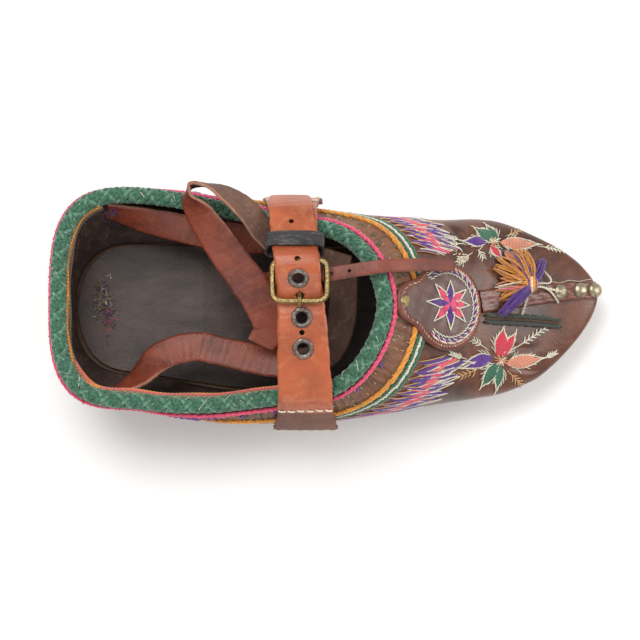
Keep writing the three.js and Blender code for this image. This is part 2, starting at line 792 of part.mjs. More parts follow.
const innerStrapRows = [
  { along: 0.292, side: 0.557, up: 0.43, lean: 0, wide: 1.12 },
  { along: 0.292, side: 0.556, up: 0.56, lean: 0, wide: 1.1 },
  { along: 0.292, side: 0.538, up: 0.72, lean: 0, wide: 1.02 },
  { along: 0.292, side: 0.508, up: 0.88, lean: 0, wide: 0.94 },
  { along: 0.293, side: 0.48, up: 1.01, lean: 0, wide: 0.9 },
  { along: 0.294, side: 0.445, up: 1.1, lean: 0, wide: 0.88 },
  { along: 0.295, side: 0.39, up: 1.165, lean: 0, wide: 0.86 },
  { along: 0.297, side: 0.31, up: 1.255, lean: 0, wide: 0.84 },
  { along: 0.299, side: 0.25, up: 1.31, lean: 0, wide: 0.82 },
  { along: 0.301, side: 0.2, up: 1.35, lean: 0, wide: 0.82 },
  { along: 0.303, side: 0.165, up: 1.365, lean: 0, wide: 0.82 },
  { along: 0.304, side: 0.137, up: 1.39, lean: 0, wide: 0.78 },
  { along: 0.304, side: 0.128, up: 1.44, lean: 0, wide: 0.76 },
];
const strapSteps = 44;
const billetFrames = strapFrames(billetRows, strapSteps, alongShoe);
const innerStrapFrames = strapFrames(innerStrapRows, 30, alongShoe);

// The strap's frame at a share of ballWidth across the shoe.
function strapPlace(frames, side) {
  const y = side * ballWidth;
  let best = frames[0];
  frames.forEach((f) => {
    if (Math.abs(f.centre.y - y) < Math.abs(best.centre.y - y)) best = f;
  });
  const slope = best.face.clone();
  if (slope.z < 0) slope.negate();
  const run = best.face.clone().cross(best.width).normalize();
  const centre = best.centre.clone().addScaledVector(run, (y - best.centre.y) / run.y);
  return { centre, normal: slope };
}

// A round bar for cutting a hole, or a ring's barrel, along a direction.
function post(place, direction, radius, length) {
  const geometry = new THREE.CylinderGeometry(radius, radius, length, 16);
  geometry.deleteAttribute("normal");
  geometry.deleteAttribute("uv");
  const turn = new THREE.Quaternion().setFromUnitVectors(new THREE.Vector3(0, 1, 0), direction);
  geometry.applyQuaternion(turn);
  geometry.translate(place.x, place.y, place.z);
  return geometry;
}

const eyeletSides = [-0.285, -0.128, 0.076];
const eyeletBore = 2.4;
const eyeletBarrel = 3.1;
const eyeletFlange = 4.6;
const eyeletRise = 0.9;
const eyeletPlaces = eyeletSides.map((side) => strapPlace(billetFrames, side));
const eyeletCuts = eyeletPlaces.map(({ centre, normal }) =>
  post(centre, normal, eyeletBarrel + clearance, strapThick * 3));
const slotWidth = 3.4;
const slotLength = 7;
const slotDepth = 12;
const prongSlot = new THREE.BoxGeometry(slotWidth, slotLength, slotDepth);
prongSlot.deleteAttribute("normal");
prongSlot.deleteAttribute("uv");
const prongSide = -0.012;
const prongPlace = strapPlace(billetFrames, prongSide).centre;
prongSlot.translate(prongPlace.x, prongPlace.y, prongPlace.z);
add(
  "strap_billet",
  carved(strap(billetFrames, strapWidth, strapThick), ...eyeletCuts, prongSlot),
  colour.strap,
);
add("strap_inner", strap(innerStrapFrames, strapWidth, strapThick), colour.strap);

// Turned eyelets through the billet
eyeletPlaces.forEach(({ centre, normal }, i) => {
  const half = strapThick / 2;
  const over = half + clearance;
  const profile = [
    [eyeletBore, -half], [eyeletBarrel, -half], [eyeletBarrel, over],
    [eyeletFlange, over], [eyeletFlange - 0.3, over + 0.5],
    [(eyeletFlange + eyeletBore) / 2, over + eyeletRise], [eyeletBore + 0.2, over + 0.5],
    [eyeletBore, -half],
  ].map(([x, y]) => new THREE.Vector2(x, y));
  const geometry = new THREE.LatheGeometry(profile, 16);
  const turn = new THREE.Quaternion().setFromUnitVectors(new THREE.Vector3(0, 1, 0), normal);
  geometry.applyQuaternion(turn);
  geometry.translate(centre.x, centre.y, centre.z);
  add("eyelet_" + (i + 1), geometry, colour.eyelet);
});

// Buckle: a wire frame whose front bar lies over the billet, with its prong on top
const wireRadius = 1.3;
const frameInside = 10.7;
const frameHalf = frameInside + wireRadius;
const frontBarSide = -0.047;
const rearBarSide = 0.168;
const frameUp = 1.44;
const frameAlong = 0.306;
const frameX = frameAlong * shoeLength;
const frameZ = heelLift + outsoleThick + frameUp * collarHeight;
const frameSquareness = 0.35;
function buckleFrame() {
  const front = frontBarSide * ballWidth;
  const rear = rearBarSide * ballWidth;
  const half = (rear - front) / 2;
  const centres = [];
  const steps = 32;
  for (let i = 0; i < steps; i++) {
    const angle = (2 * halfTurn * i) / steps;
    const cx = Math.sign(Math.cos(angle)) * Math.abs(Math.cos(angle)) ** frameSquareness;
    const cy = Math.sign(Math.sin(angle)) * Math.abs(Math.sin(angle)) ** frameSquareness;
    centres.push(new THREE.Vector3(frameX + frameHalf * cx, front + half + half * cy, frameZ));
  }
  return closedTube(centres, wireRadius, 6);
}
add("buckle_frame", buckleFrame(), colour.buckle);

// A rod through points with a radius at each.
function rod(points, sides) {
  const up = new THREE.Vector3(0, 0, 1);
  const rings = points.map(({ p, r }, i) => {
    const ahead = points[Math.min(i + 1, points.length - 1)].p;
    const behind = points[Math.max(i - 1, 0)].p;
    const along = ahead.clone().sub(behind).normalize();
    const side = along.clone().cross(Math.abs(along.z) > 0.95 ? new THREE.Vector3(1, 0, 0) : up);
    side.normalize();
    const over = side.clone().cross(along).normalize();
    const ring = [];
    for (let s = 0; s < sides; s++) {
      const angle = (2 * halfTurn * s) / sides;
      const q = p.clone().addScaledVector(side, r * Math.cos(angle));
      ring.push(q.addScaledVector(over, r * Math.sin(angle)));
    }
    return ring;
  });
  return skin(rings);
}

// The prong comes up through the billet and lies on the front bar. ahead: distance towards
// the inner side from the front bar. over: height over the frame's middle.
const prongRadius = 0.95;
const prongRows = [
  { ahead: 6, over: -3.6, thick: 0.9 },
  { ahead: 4.4, over: -1.8, thick: 1 },
  { ahead: 2.6, over: 0.9, thick: 1 },
  { ahead: 0.8, over: 2.45, thick: 1 },
  { ahead: -1.2, over: 2.35, thick: 0.95 },
  { ahead: -2.6, over: 1.8, thick: 0.7 },
];
add(
  "buckle_prong",
  rod(prongRows.map(({ ahead, over, thick }) => ({
    p: new THREE.Vector3(frameX, frontBarSide * ballWidth + ahead, frameZ + over),
    r: prongRadius * thick,
  })), 8),
  colour.buckle,
);

// The keeper, a loop of thin leather round both straps
const keeperSide = 0.256;
const keeperWidth = 7.5;
const keeperThick = 1.3;
const keeperHalf = 11.7;
const keeperRise = 4.3;
const keeperTilt = 0.47;
const keeperUp = 1.347;
const keeperAlong = 0.297;
const keeperSquareness = 0.4;
function keeper() {
  const centre = new THREE.Vector3(
    keeperAlong * shoeLength,
    keeperSide * ballWidth,
    heelLift + outsoleThick + keeperUp * collarHeight,
  );
  const run = new THREE.Vector3(0, Math.cos(keeperTilt), -Math.sin(keeperTilt));
  const over = new THREE.Vector3(0, Math.sin(keeperTilt), Math.cos(keeperTilt));
  const across = new THREE.Vector3(1, 0, 0);
  const steps = 24;
  const rings = [];
  for (let i = 0; i < steps; i++) {
    const angle = (2 * halfTurn * i) / steps;
    const cx = Math.sign(Math.cos(angle)) * Math.abs(Math.cos(angle)) ** keeperSquareness;
    const cz = Math.sign(Math.sin(angle)) * Math.abs(Math.sin(angle)) ** keeperSquareness;
    const at = (out, side) => centre.clone()
      .addScaledVector(across, (keeperHalf + out) * cx)
      .addScaledVector(over, (keeperRise + out) * cz)
      .addScaledVector(run, (side * keeperWidth) / 2);
    rings.push([at(0, -1), at(0, 1), at(keeperThick, 1), at(keeperThick, -1)]);
  }
  return skin(rings, true);
}
add("keeper", keeper(), colour.keeper);

// Ankle straps, lying slack inside the shoe
const ankleThick = 1.8;
const ankleWidth = 14;
const tipWidth = 6.2;
const ankleStraps = {
  ankle_strap_inner: {
    width: ankleWidth,
    steps: 20,
    rows: [
      { along: -0.045, side: 0.488, up: 0.75, lean: -75, wide: 1 },
      { along: 0.036, side: 0.428, up: 0.714, lean: -45, wide: 1 },
      { along: 0.1255, side: 0.375, up: 0.69, lean: -25, wide: 1 },
      { along: 0.194, side: 0.345, up: 0.714, lean: -20, wide: 1 },
      { along: 0.267, side: 0.327, up: 0.738, lean: -15, wide: 1 },
      { along: 0.33, side: 0.31, up: 0.738, lean: -10, wide: 0.9 },
    ],
  },
  ankle_strap_outer: {
    width: ankleWidth,
    steps: 36,
    rows: [
      { along: -0.028, side: -0.488, up: 0.738, lean: 75, wide: 1.15 },
      { along: 0.012, side: -0.417, up: 0.7, lean: 55, wide: 1.1 },
      { along: 0.057, side: -0.29, up: 0.65, lean: 20, wide: 1 },
      { along: 0.117, side: -0.24, up: 0.62, lean: 8, wide: 0.95 },
      { along: 0.17, side: -0.27, up: 0.62, lean: 8, wide: 0.95 },
      { along: 0.251, side: -0.32, up: 0.62, lean: 10, wide: 1 },
      { along: 0.316, side: -0.327, up: 0.643, lean: 10, wide: 1 },
      { along: 0.356, side: -0.27, up: 0.667, lean: 0, wide: 0.95 },
      { along: 0.38, side: -0.12, up: 0.714, lean: -10, wide: 0.9 },
      { along: 0.385, side: 0.05, up: 0.8, lean: -10, wide: 0.9 },
      { along: 0.385, side: 0.15, up: 0.86, lean: -10, wide: 0.8 },
    ],
  },
  ankle_strap_loop: {
    width: ankleWidth,
    steps: 48,
    rows: [
      { along: 0.395, side: 0.17, up: 0.95, lean: -10, wide: 0.7 },
      { along: 0.36, side: 0.2, up: 0.96, lean: -15, wide: 0.7 },
      { along: 0.32, side: 0.23, up: 0.95, lean: -15, wide: 0.75 },
      { along: 0.28, side: 0.26, up: 0.97, lean: -20, wide: 0.8 },
      { along: 0.245, side: 0.325, up: 1.11, lean: -30, wide: 0.82 },
      { along: 0.215, side: 0.44, up: 1.2, lean: -35, wide: 0.9 },
      { along: 0.175, side: 0.53, up: 1.26, lean: -55, wide: 0.95 },
      { along: 0.14, side: 0.575, up: 1.28, lean: -80, wide: 0.95 },
      { along: 0.112, side: 0.575, up: 1.26, lean: -90, wide: 0.95 },
      { along: 0.107, side: 0.53, up: 1.25, lean: -80, wide: 1 },
      { along: 0.13, side: 0.42, up: 1.15, lean: -40, wide: 1.05 },
      { along: 0.175, side: 0.23, up: 1.05, lean: -15, wide: 1.1 },
      { along: 0.218, side: 0.06, up: 1, lean: -8, wide: 1.15 },
      { along: 0.242, side: -0.06, up: 0.93, lean: 0, wide: 1.1 },
      { along: 0.25, side: -0.16, up: 0.86, lean: 10, wide: 1 },
      { along: 0.235, side: -0.24, up: 0.8, lean: 15, wide: 0.9 },
    ],
  },
  ankle_strap_tip: {
    width: tipWidth,
    steps: 24,
    rows: [
      { along: 0.185, side: 0.09, up: 0.7, lean: 0, wide: 1 },
      { along: 0.22, side: 0.1, up: 0.78, lean: 0, wide: 1 },
      { along: 0.25, side: 0.105, up: 0.9, lean: 0, wide: 1 },
      { along: 0.28, side: 0.105, up: 1.08, lean: 0, wide: 1 },
      { along: 0.315, side: 0.1, up: 1.24, lean: 0, wide: 1 },
      { along: 0.36, side: 0.105, up: 1.29, lean: 0, wide: 0.98 },
      { along: 0.42, side: 0.13, up: 1.32, lean: 0, wide: 0.96 },
      { along: 0.46, side: 0.145, up: 1.335, lean: 0, wide: 0.94 },
      { along: 0.52, side: 0.165, up: 1.13, lean: 0, wide: 0.9 },
      { along: 0.583, side: 0.18, up: 0.86, lean: 0, wide: 0.82 },
    ],
  },
};
Object.entries(ankleStraps).forEach(([name, { width, steps, rows }]) => {
  add(name, strap(strapFrames(rows, steps), width, ankleThick), colour.ankleStrap);
});

// Tassel: a wrapped knot with locks of yarn. along, side: where each lock ends, shares of
// the length to the toe's tip and of ballWidth; arch: how high its middle stands off the
// leather; thick: share of the lock's full radius.
const tasselAlong = 0.84;
const tasselSide = 0.105;
const knotRadius = 3.5;
const lockRadius = 1.7;
const tasselLift = stripThick + 2 * clearance + knotRadius;
const locks = [
  { along: 0.767, side: 0.195, arch: 4, thick: 1 },
  { along: 0.776, side: 0.245, arch: 5, thick: 1.1 },
  { along: 0.793, side: 0.285, arch: 5, thick: 1.1 },
  { along: 0.811, side: 0.3, arch: 5, thick: 1.1 },
  { along: 0.831, side: 0.295, arch: 5, thick: 1 },
  { along: 0.779, side: 0.14, arch: 4, thick: 0.9 },
  { along: 0.774, side: -0.06, arch: 5.5, thick: 1 },
  { along: 0.787, side: -0.02, arch: 6, thick: 1.1 },
  { along: 0.874, side: 0.25, arch: 4, thick: 0.9 },
  { along: 0.8625, side: 0.2, arch: 3, thick: 0.9 },
];
function tassel() {
  const start = [tasselAlong * toeTip, tasselSide * ballWidth];
  const knotPlace = vaultPoint(...start, tasselLift);
  const ball = new THREE.SphereGeometry(knotRadius, 12, 8);
  ball.deleteAttribute("normal");
  ball.deleteAttribute("uv");
  ball.translate(knotPlace.x, knotPlace.y, knotPlace.z);
  const strands = locks.map(({ along, side, arch, thick }) => {
    const end = [along * toeTip, side * ballWidth];
    const points = [0, 0.3, 0.6, 0.85, 1].map((t) => {
      const x = start[0] + (end[0] - start[0]) * t;
      const y = start[1] + (end[1] - start[1]) * t;
      const rest = lockRadius + 2 * clearance + (side < 0 ? seamHeight : 0);
      const base = tasselLift * (1 - t) + rest * t;
      const lift = base + (arch - lockRadius) * 2 * t * (1 - t);
      const swell = 0.7 + 0.6 * Math.sin(halfTurn * Math.min(t * 0.8 + 0.1, 1));
      return { p: vaultPoint(x, y, lift), r: lockRadius * thick * swell * (t === 1 ? 0.75 : 1) };
    });
    return rod(points, 6);
  });
  return fused(ball, ...strands);
}
add("tassel", tassel(), colour.tassel);

export default shoe;
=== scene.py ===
import math
import random

import bmesh
import bpy
import numpy as np
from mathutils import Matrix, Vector


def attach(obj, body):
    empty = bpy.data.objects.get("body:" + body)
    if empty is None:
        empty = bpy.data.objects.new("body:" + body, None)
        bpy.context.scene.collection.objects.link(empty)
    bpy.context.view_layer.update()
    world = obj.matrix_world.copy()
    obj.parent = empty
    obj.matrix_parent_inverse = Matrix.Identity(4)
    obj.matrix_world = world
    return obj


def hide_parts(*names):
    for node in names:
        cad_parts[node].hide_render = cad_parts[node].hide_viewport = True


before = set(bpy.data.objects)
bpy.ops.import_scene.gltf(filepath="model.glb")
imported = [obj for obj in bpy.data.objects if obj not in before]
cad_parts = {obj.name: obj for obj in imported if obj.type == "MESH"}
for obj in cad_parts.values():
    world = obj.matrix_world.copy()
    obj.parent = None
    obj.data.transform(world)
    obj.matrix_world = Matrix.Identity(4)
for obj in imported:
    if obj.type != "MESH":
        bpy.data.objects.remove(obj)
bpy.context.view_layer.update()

# Studio: a pale paper floor, one wide soft light over the shoe, a weaker one from the
# side of the toe and an even pale surround. The camera looks almost straight down.
mm = 0.001

world = bpy.data.worlds.new("studio")
world.use_nodes = True
world.node_tree.nodes["Background"].inputs["Color"].default_value = (1, 0.99, 0.98, 1)
world.node_tree.nodes["Background"].inputs["Strength"].default_value = 0.62
bpy.context.scene.world = world
bpy.context.scene.view_settings.view_transform = "Standard"


def softbox(name, place, aim, size, power):
    data = bpy.data.lights.new(name, "AREA")
    data.shape = "DISK"
    data.size = size
    data.energy = power
    lamp = bpy.data.objects.new(name, data)
    lamp.location = place
    lamp.rotation_euler = (Vector(aim) - Vector(place)).to_track_quat("-Z", "Y").to_euler()
    bpy.context.collection.objects.link(lamp)


softbox("over_light", (-0.25, 0.45, 1.1), (0.09, 0, 0), 0.8, 9.5)
softbox("toe_light", (0.9, 0.1, 0.55), (0.12, 0, 0), 0.5, 3.2)
softbox("front_light", (0.05, -0.9, 0.6), (0.09, 0, 0.02), 0.6, 2.2)

paper = bpy.data.materials.new("paper")
paper.use_nodes = True
paper_shader = paper.node_tree.nodes["Principled BSDF"]
paper_shader.inputs["Base Color"].default_value = (0.92, 0.915, 0.905, 1)
paper_shader.inputs["Roughness"].default_value = 0.85
paper_mesh = bpy.data.meshes.new("floor")
paper_mesh.from_pydata([(-3, -3, 0), (3, -3, 0), (3, 3, 0), (-3, 3, 0)], [], [(0, 1, 2, 3)])
paper_mesh.materials.append(paper)
floor = bpy.data.objects.new("floor", paper_mesh)
bpy.context.collection.objects.link(floor)

aim = Vector((0.0845, -0.0055, 0.02))
elevation = math.radians(83)
distance = 1.15
lens = bpy.data.cameras.new("camera")
lens.sensor_width = 36
lens.lens = 36 * distance / 0.2925
camera = bpy.data.objects.new("camera", lens)
camera.location = aim + distance * Vector((0, -math.cos(elevation), math.sin(elevation)))
camera.rotation_euler = (aim - camera.location).to_track_quat("-Z", "Y").to_euler()
bpy.context.collection.objects.link(camera)
bpy.context.scene.camera = camera

# Leather of the vamp, straps and sole: a procedural hide with pores, fine creases, darker
# and paler patches and worn spots, one group that every leather material of the shoe uses.


def group_of(name, inputs, outputs):
    tree = bpy.data.node_groups.new(name, "ShaderNodeTree")
    for label, kind, value in inputs:
        socket = tree.interface.new_socket(label, in_out="INPUT", socket_type=kind)
        if value is not None:
            socket.default_value = value
    for label, kind in outputs:
        tree.interface.new_socket(label, in_out="OUTPUT", socket_type=kind)
    return tree, tree.nodes.new("NodeGroupInput"), tree.nodes.new("NodeGroupOutput")


def node(tree, kind, settings=None, **values):
    made = tree.nodes.new(kind)
    for key, value in (settings or {}).items():
        setattr(made, key, value)
    for key, value in values.items():
        made.inputs[key.replace("_", " ")].default_value = value
    return made


def maths(tree, operation, a, b=None):
    made = tree.nodes.new("ShaderNodeMath")
    made.operation = operation
    for socket, value in zip(made.inputs, (a, b)):
        if value is None:
            continue
        if isinstance(value, (int, float)):
            socket.default_value = value
        else:
            tree.links.new(value, socket)
    return made.outputs[0]


def ramp(tree, value, low, high):
    made = tree.nodes.new("ShaderNodeMapRange")
    made.clamp = True
    made.inputs["From Min"].default_value = low
    made.inputs["From Max"].default_value = high
    tree.links.new(value, made.inputs["Value"])
    return made.outputs["Result"]


def mixed(tree, share, a, b):
    made = tree.nodes.new("ShaderNodeMix")
    made.data_type = "RGBA"
    for socket, value in ((made.inputs[0], share), (made.inputs[6], a), (made.inputs[7], b)):
        if isinstance(value, (int, float, tuple)):
            socket.default_value = value
        else:
            tree.links.new(value, socket)
    return made.outputs[2]


hide, hide_in, hide_out = group_of(
    "hide",
    [
        ("Colour", "NodeSocketColor", (0.3, 0.15, 0.1, 1)),
        ("Dark", "NodeSocketColor", (0.1, 0.05, 0.03, 1)),
        ("Pale", "NodeSocketColor", (0.5, 0.35, 0.25, 1)),
        ("Mottle", "NodeSocketFloat", 0.6),
        ("Wear", "NodeSocketFloat", 0.3),
        ("Stretch", "NodeSocketVector", (1, 1, 1)),
    ],
    [("Colour", "NodeSocketColor"), ("Rough", "NodeSocketFloat"), ("Height", "NodeSocketFloat")],
)
place = node(hide, "ShaderNodeTexCoord")
stretched = node(hide, "ShaderNodeVectorMath", {"operation": "MULTIPLY"})
hide.links.new(place.outputs["Object"], stretched.inputs[0])
hide.links.new(hide_in.outputs["Stretch"], stretched.inputs[1])
patches = node(hide, "ShaderNodeTexNoise", Scale=46, Detail=6, Roughness=0.62, Distortion=0.4)
streaks = node(hide, "ShaderNodeTexNoise", Scale=190, Detail=5, Roughness=0.7, Distortion=0.8)
pores = node(hide, "ShaderNodeTexVoronoi", {"feature": "F1"}, Scale=1500)
grain = node(hide, "ShaderNodeTexNoise", Scale=2300, Detail=3, Roughness=0.6)
for each in (patches, streaks, pores, grain):
    hide.links.new(stretched.outputs[0], each.inputs["Vector"])
dark_share = maths(
    hide, "MULTIPLY", ramp(hide, patches.outputs["Fac"], 0.42, 0.66), hide_in.outputs["Mottle"]
)
dark_mix = mixed(hide, dark_share, hide_in.outputs["Colour"], hide_in.outputs["Dark"])
streak_share = maths(
    hide, "MULTIPLY", ramp(hide, streaks.outputs["Fac"], 0.52, 0.74), hide_in.outputs["Wear"]
)
worn_mix = mixed(hide, streak_share, dark_mix, hide_in.outputs["Pale"])
hide.links.new(worn_mix, hide_out.inputs["Colour"])
rough = maths(
    hide, "ADD", maths(hide, "MULTIPLY", streak_share, 0.5),
    maths(hide, "MULTIPLY", grain.outputs["Fac"], 0.2),
)
hide.links.new(rough, hide_out.inputs["Rough"])
relief = maths(
    hide,
    "ADD",
    maths(hide, "MULTIPLY", pores.outputs["Distance"], 0.35),
    maths(
        hide, "ADD", maths(hide, "MULTIPLY", grain.outputs["Fac"], 0.25),
        maths(hide, "MULTIPLY", streaks.outputs["Fac"], 1.1),
    ),
)
hide.links.new(relief, hide_out.inputs["Height"])


def plain_shader(name):
    material = bpy.data.materials.new(name)
    material.use_nodes = True
    tree = material.node_tree
    return material, tree, tree.nodes["Principled BSDF"]


def linear(colour):
    """A colour such as "6b4234" as Blender's linear numbers."""
    parts = [int(colour[i : i + 2], 16) / 255 for i in (0, 2, 4)]
    return (*[c / 12.92 if c <= 0.04045 else ((c + 0.055) / 1.055) ** 2.4 for c in parts], 1)


def leather(
    name, colour, dark, pale, mottle=0.6, wear=0.3, base_rough=0.35, bump=0.25, coat=0.0,
    stretch=(1, 1, 1),
):
    material, tree, shader = plain_shader(name)
    skin = tree.nodes.new("ShaderNodeGroup")
    skin.node_tree = hide
    skin.inputs["Colour"].default_value = linear(colour)
    skin.inputs["Dark"].default_value = linear(dark)
    skin.inputs["Pale"].default_value = linear(pale)
    skin.inputs["Mottle"].default_value = mottle
    skin.inputs["Wear"].default_value = wear
    skin.inputs["Stretch"].default_value = stretch
    tree.links.new(skin.outputs["Colour"], shader.inputs["Base Color"])
    tree.links.new(maths(tree, "ADD", skin.outputs["Rough"], base_rough), shader.inputs["Roughness"])
    lifted = node(tree, "ShaderNodeBump", Strength=bump, Distance=0.0004)
    tree.links.new(skin.outputs["Height"], lifted.inputs["Height"])
    tree.links.new(lifted.outputs["Normal"], shader.inputs["Normal"])
    shader.inputs["Coat Weight"].default_value = coat
    shader.inputs["Coat Roughness"].default_value = 0.22
    return material


def piece(name, points, faces, materials, finish=None, smooth=True):
    """A piece from points in millimetres, riding on the shoe."""
    mesh = bpy.data.meshes.new(name)
    mesh.from_pydata((np.asarray(points, dtype=float) * mm).tolist(), [], faces)
    for material in materials:
        mesh.materials.append(material)
    if finish is not None:
        mesh.polygons.foreach_set("material_index", np.asarray(finish, dtype=np.int32))
    mesh.polygons.foreach_set("use_smooth", np.full(len(mesh.polygons), smooth))
    mesh.update()
    made = bpy.data.objects.new(name, mesh)
    bpy.context.collection.objects.link(made)
    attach(made, "root")
    return made


def grid_faces(rows, columns, closed_rows=False, closed_columns=False, start=0):
    """Quads over points laid out row by row."""
    faces = []
    for r in range(rows if closed_rows else rows - 1):
        for c in range(columns if closed_columns else columns - 1):
            here = start + r * columns + c
            right = start + r * columns + (c + 1) % columns
            down = start + (r + 1) % rows * columns
            faces.append((here, right, down + (c + 1) % columns, down + c))
    return faces

# Upper: one hollow piece of thin brown leather, drawn over the last, open at the collar
# and sewn to the sole at its foot. The vamp is waxed dark, the band round the collar is
# paler and pleated by the cord's stitches, and the inside shows the backs of the stitches.
shoe_length, heel_back, ball_width, collar_width = 247, 34.5, 84, 97
instep_height, collar_height, toe_fan, throat_place, throat_depth = 61, 42, 52.5, 113, 29
wall, outsole_thick, heel_lift, toe_spring, insole_thick = 2, 5, 10, 6, 2.5
cord_radius, clearance, heel_seat_back, heel_breast = 3.7, 0.3, 30, 28
ball_start, ball_end, sole_margin, toe_tuck, toe_blunt = 100, 150, 1, 4.5, 0.06
heel_round, heel_seat_round, toe_round, sole_toe_round = 3.1, 2.4, 1.55, 1.65
vault_side, vault_top, throat_round = 2.2, 2, 1.75
toe_tip = shoe_length - heel_back
toe_centre = toe_tip - toe_fan
throat_start = throat_place - throat_depth
quarter = math.pi / 2

last_along = [-0.15, 0, 0.085, 0.17, 0.34, 0.453, 0.567, 0.648, 0.753, 0.86]
last = {
    "ball": [0, 0, 0, 0, 0.55, 1.05, 1, 0.965, 0.8, 0.5],
    "collar": [0.98, 1, 1.02, 1.025, 0.5, 0, 0, 0, 0, 0],
    "drift": [0, 0, -0.02, -0.043, -0.062, -0.05, -0.024, 0, 0.012, 0.075],
    "rise": [0.99, 0.95, 0.82, 0.7, 0.64, 0.54, 0.44, 0.37, 0.26, 0.14],
    "ridge": [0.77, 0.8, 0.815, 0.84, 1.05, 1, 0.68, 0.49, 0.315, 0.18],
    "tuck": [0.2, 0.2, 0.19, 0.18, 0.14, 0.1, 0.085, 0.08, 0.075, 0.06],
    "belly": [0.4, 0.45, 0.5, 0.6, 0.8, 1, 1, 1, 1, 1],
}
collar_along = [-0.15, 0, 0.085, 0.17, 0.263, 0.34]
collar_line = [0.93, 0.965, 0.945, 0.89, 0.83, 0.785]


def table_at(along, values, place):
    at, val = np.asarray(along, float), np.asarray(values, float)
    ahead = np.minimum(np.arange(len(at)) + 1, len(at) - 1)
    behind = np.maximum(np.arange(len(at)) - 1, 0)
    slope = (val[ahead] - val[behind]) / (at[ahead] - at[behind])
    place = np.clip(place, at[0], at[-1])
    i = np.clip(np.searchsorted(at, place, side="left") - 1, 0, len(at) - 2)
    span = at[i + 1] - at[i]
    t = (place - at[i]) / span
    bends = t * (1 - t) ** 2 * slope[i] - t * t * (1 - t) * slope[i + 1]
    return (1 + 2 * t) * (1 - t) ** 2 * val[i] + t * t * (3 - 2 * t) * val[i + 1] + bends * span


def section(column, x):
    return table_at(last_along, last[column], x / shoe_length)


def half_width(x):
    return (section("ball", x) * ball_width + section("collar", x) * collar_width) / 2


def middle(x):
    return section("drift", x) * ball_width


def foot_half(x):
    return half_width(x) - section("tuck", x) * ball_width


def eased(t):
    s = np.clip(t, 0, 1)
    return s * s * (3 - 2 * s)


def sole_under(x):
    arch = heel_lift * (1 - eased((x - heel_breast) / (ball_start - heel_breast)))
    return arch + toe_spring * (np.maximum(x - ball_end, 0) / (toe_tip - ball_end)) ** 2


def feather_height(x):
    return sole_under(x) + outsole_thick + clearance


def oval_reach(angle, along, across, roundness):
    a, b = np.abs(np.cos(angle)) / along, np.abs(np.sin(angle)) / across
    return (a**roundness + b**roundness) ** (-1 / roundness)


def outline_from(x, side):
    """Centre, direction, reach of the widest outline and of the sole's edge."""
    x, side = np.broadcast_arrays(np.asarray(x, float), np.asarray(side, float))
    sign = np.where(side < 0, -1.0, 1.0)
    toe, heel = x > toe_centre, x < 0
    toe_angle = np.arctan2(np.abs(side), np.where(toe, x - toe_centre, 1))
    seen = np.hypot(toe_angle, toe_blunt * np.cos(toe_angle))
    heel_angle = np.arctan2(np.abs(side), np.where(heel, -x, 1))
    flat = np.clip(x, 0, toe_centre)
    widest, foot = half_width(flat), foot_half(flat)
    reach = np.where(toe, oval_reach(seen, toe_fan, half_width(toe_centre), toe_round), widest)
    reach = np.where(heel, oval_reach(heel_angle, heel_back, half_width(0), heel_round), reach)
    at_toe = oval_reach(seen, toe_fan - toe_tuck, foot_half(toe_centre), sole_toe_round)
    at_heel = oval_reach(heel_angle, heel_seat_back - sole_margin, foot_half(0), heel_seat_round)
    foot = np.where(toe, at_toe, np.where(heel, at_heel, foot))
    dx = np.where(toe, np.cos(toe_angle), np.where(heel, -np.cos(heel_angle), 0))
    dy = sign * np.where(toe, np.sin(toe_angle), np.where(heel, np.sin(heel_angle), 1))
    return flat, dx, dy, reach, foot


def upper_point(u, v, depth=0.0):
    """A point of the upper from its unrolled plan place; depth goes into the wall."""
    centre, dx, dy, reach, foot = outline_from(u, v)
    turn = np.hypot(u - centre, v) / reach
    edge = centre + reach * dx
    widest = feather_height(edge) + section("rise", edge) * collar_height
    over = np.clip(turn, 0, 1) * quarter
    r = (reach - depth) * np.sin(over) ** (2 / vault_side)
    x = centre + r * dx
    rise = np.maximum(feather_height(x) + section("ridge", x) * instep_height - depth - widest, 0)
    vault = np.stack([x, r * dy + middle(x), widest + rise * np.cos(over) ** (2 / vault_top)], -1)
    k = np.clip(turn - 1, 0, 1)
    belly = section("belly", edge)
    angle = k * quarter
    inward = (1 - belly) * k + belly * (1 - np.cos(angle))
    down = (1 - belly) * k + belly * np.sin(angle)
    r = reach - depth * np.cos(angle * belly) - (reach - foot) * inward
    x = centre + r * dx
    z = widest + (feather_height(x) - widest) * down + depth * np.sin(angle * belly)
    side = np.stack([x, r * dy + middle(x), z], -1)
    return np.where((turn <= 1)[..., None], vault, side)


def unrolled(x, y):
    side = y - middle(x)
    centre, dx, dy, reach, _ = outline_from(x, side)
    share = np.minimum(np.hypot(x - centre, side) / reach, 1)
    r = np.arcsin(share ** (vault_side / 2)) / quarter * reach
    return centre + r * dx, r * dy


# Soft troughs that wear has pressed into the vamp: place along and across the shoe, turn
# from straight across in degrees, half length, half breadth and depth, in the shoe's sizes.
creases = [
    (0.585, -0.34, 28, 0.16, 0.016, 0.012),
    (0.61, -0.30, 20, 0.13, 0.013, 0.009),
    (0.635, -0.36, 12, 0.12, 0.014, 0.010),
    (0.60, 0.33, -25, 0.13, 0.015, 0.011),
    (0.635, 0.30, -18, 0.12, 0.013, 0.009),
    (0.67, 0.33, -30, 0.08, 0.012, 0.008),
    (0.70, -0.24, 62, 0.12, 0.016, 0.009),
    (0.72, -0.33, 70, 0.11, 0.014, 0.008),
    (0.71, 0.27, -66, 0.10, 0.014, 0.008),
    (0.52, -0.42, 10, 0.09, 0.013, 0.008),
    (0.53, 0.38, -10, 0.09, 0.013, 0.008),
    (0.46, -0.44, 5, 0.08, 0.012, 0.008),
]


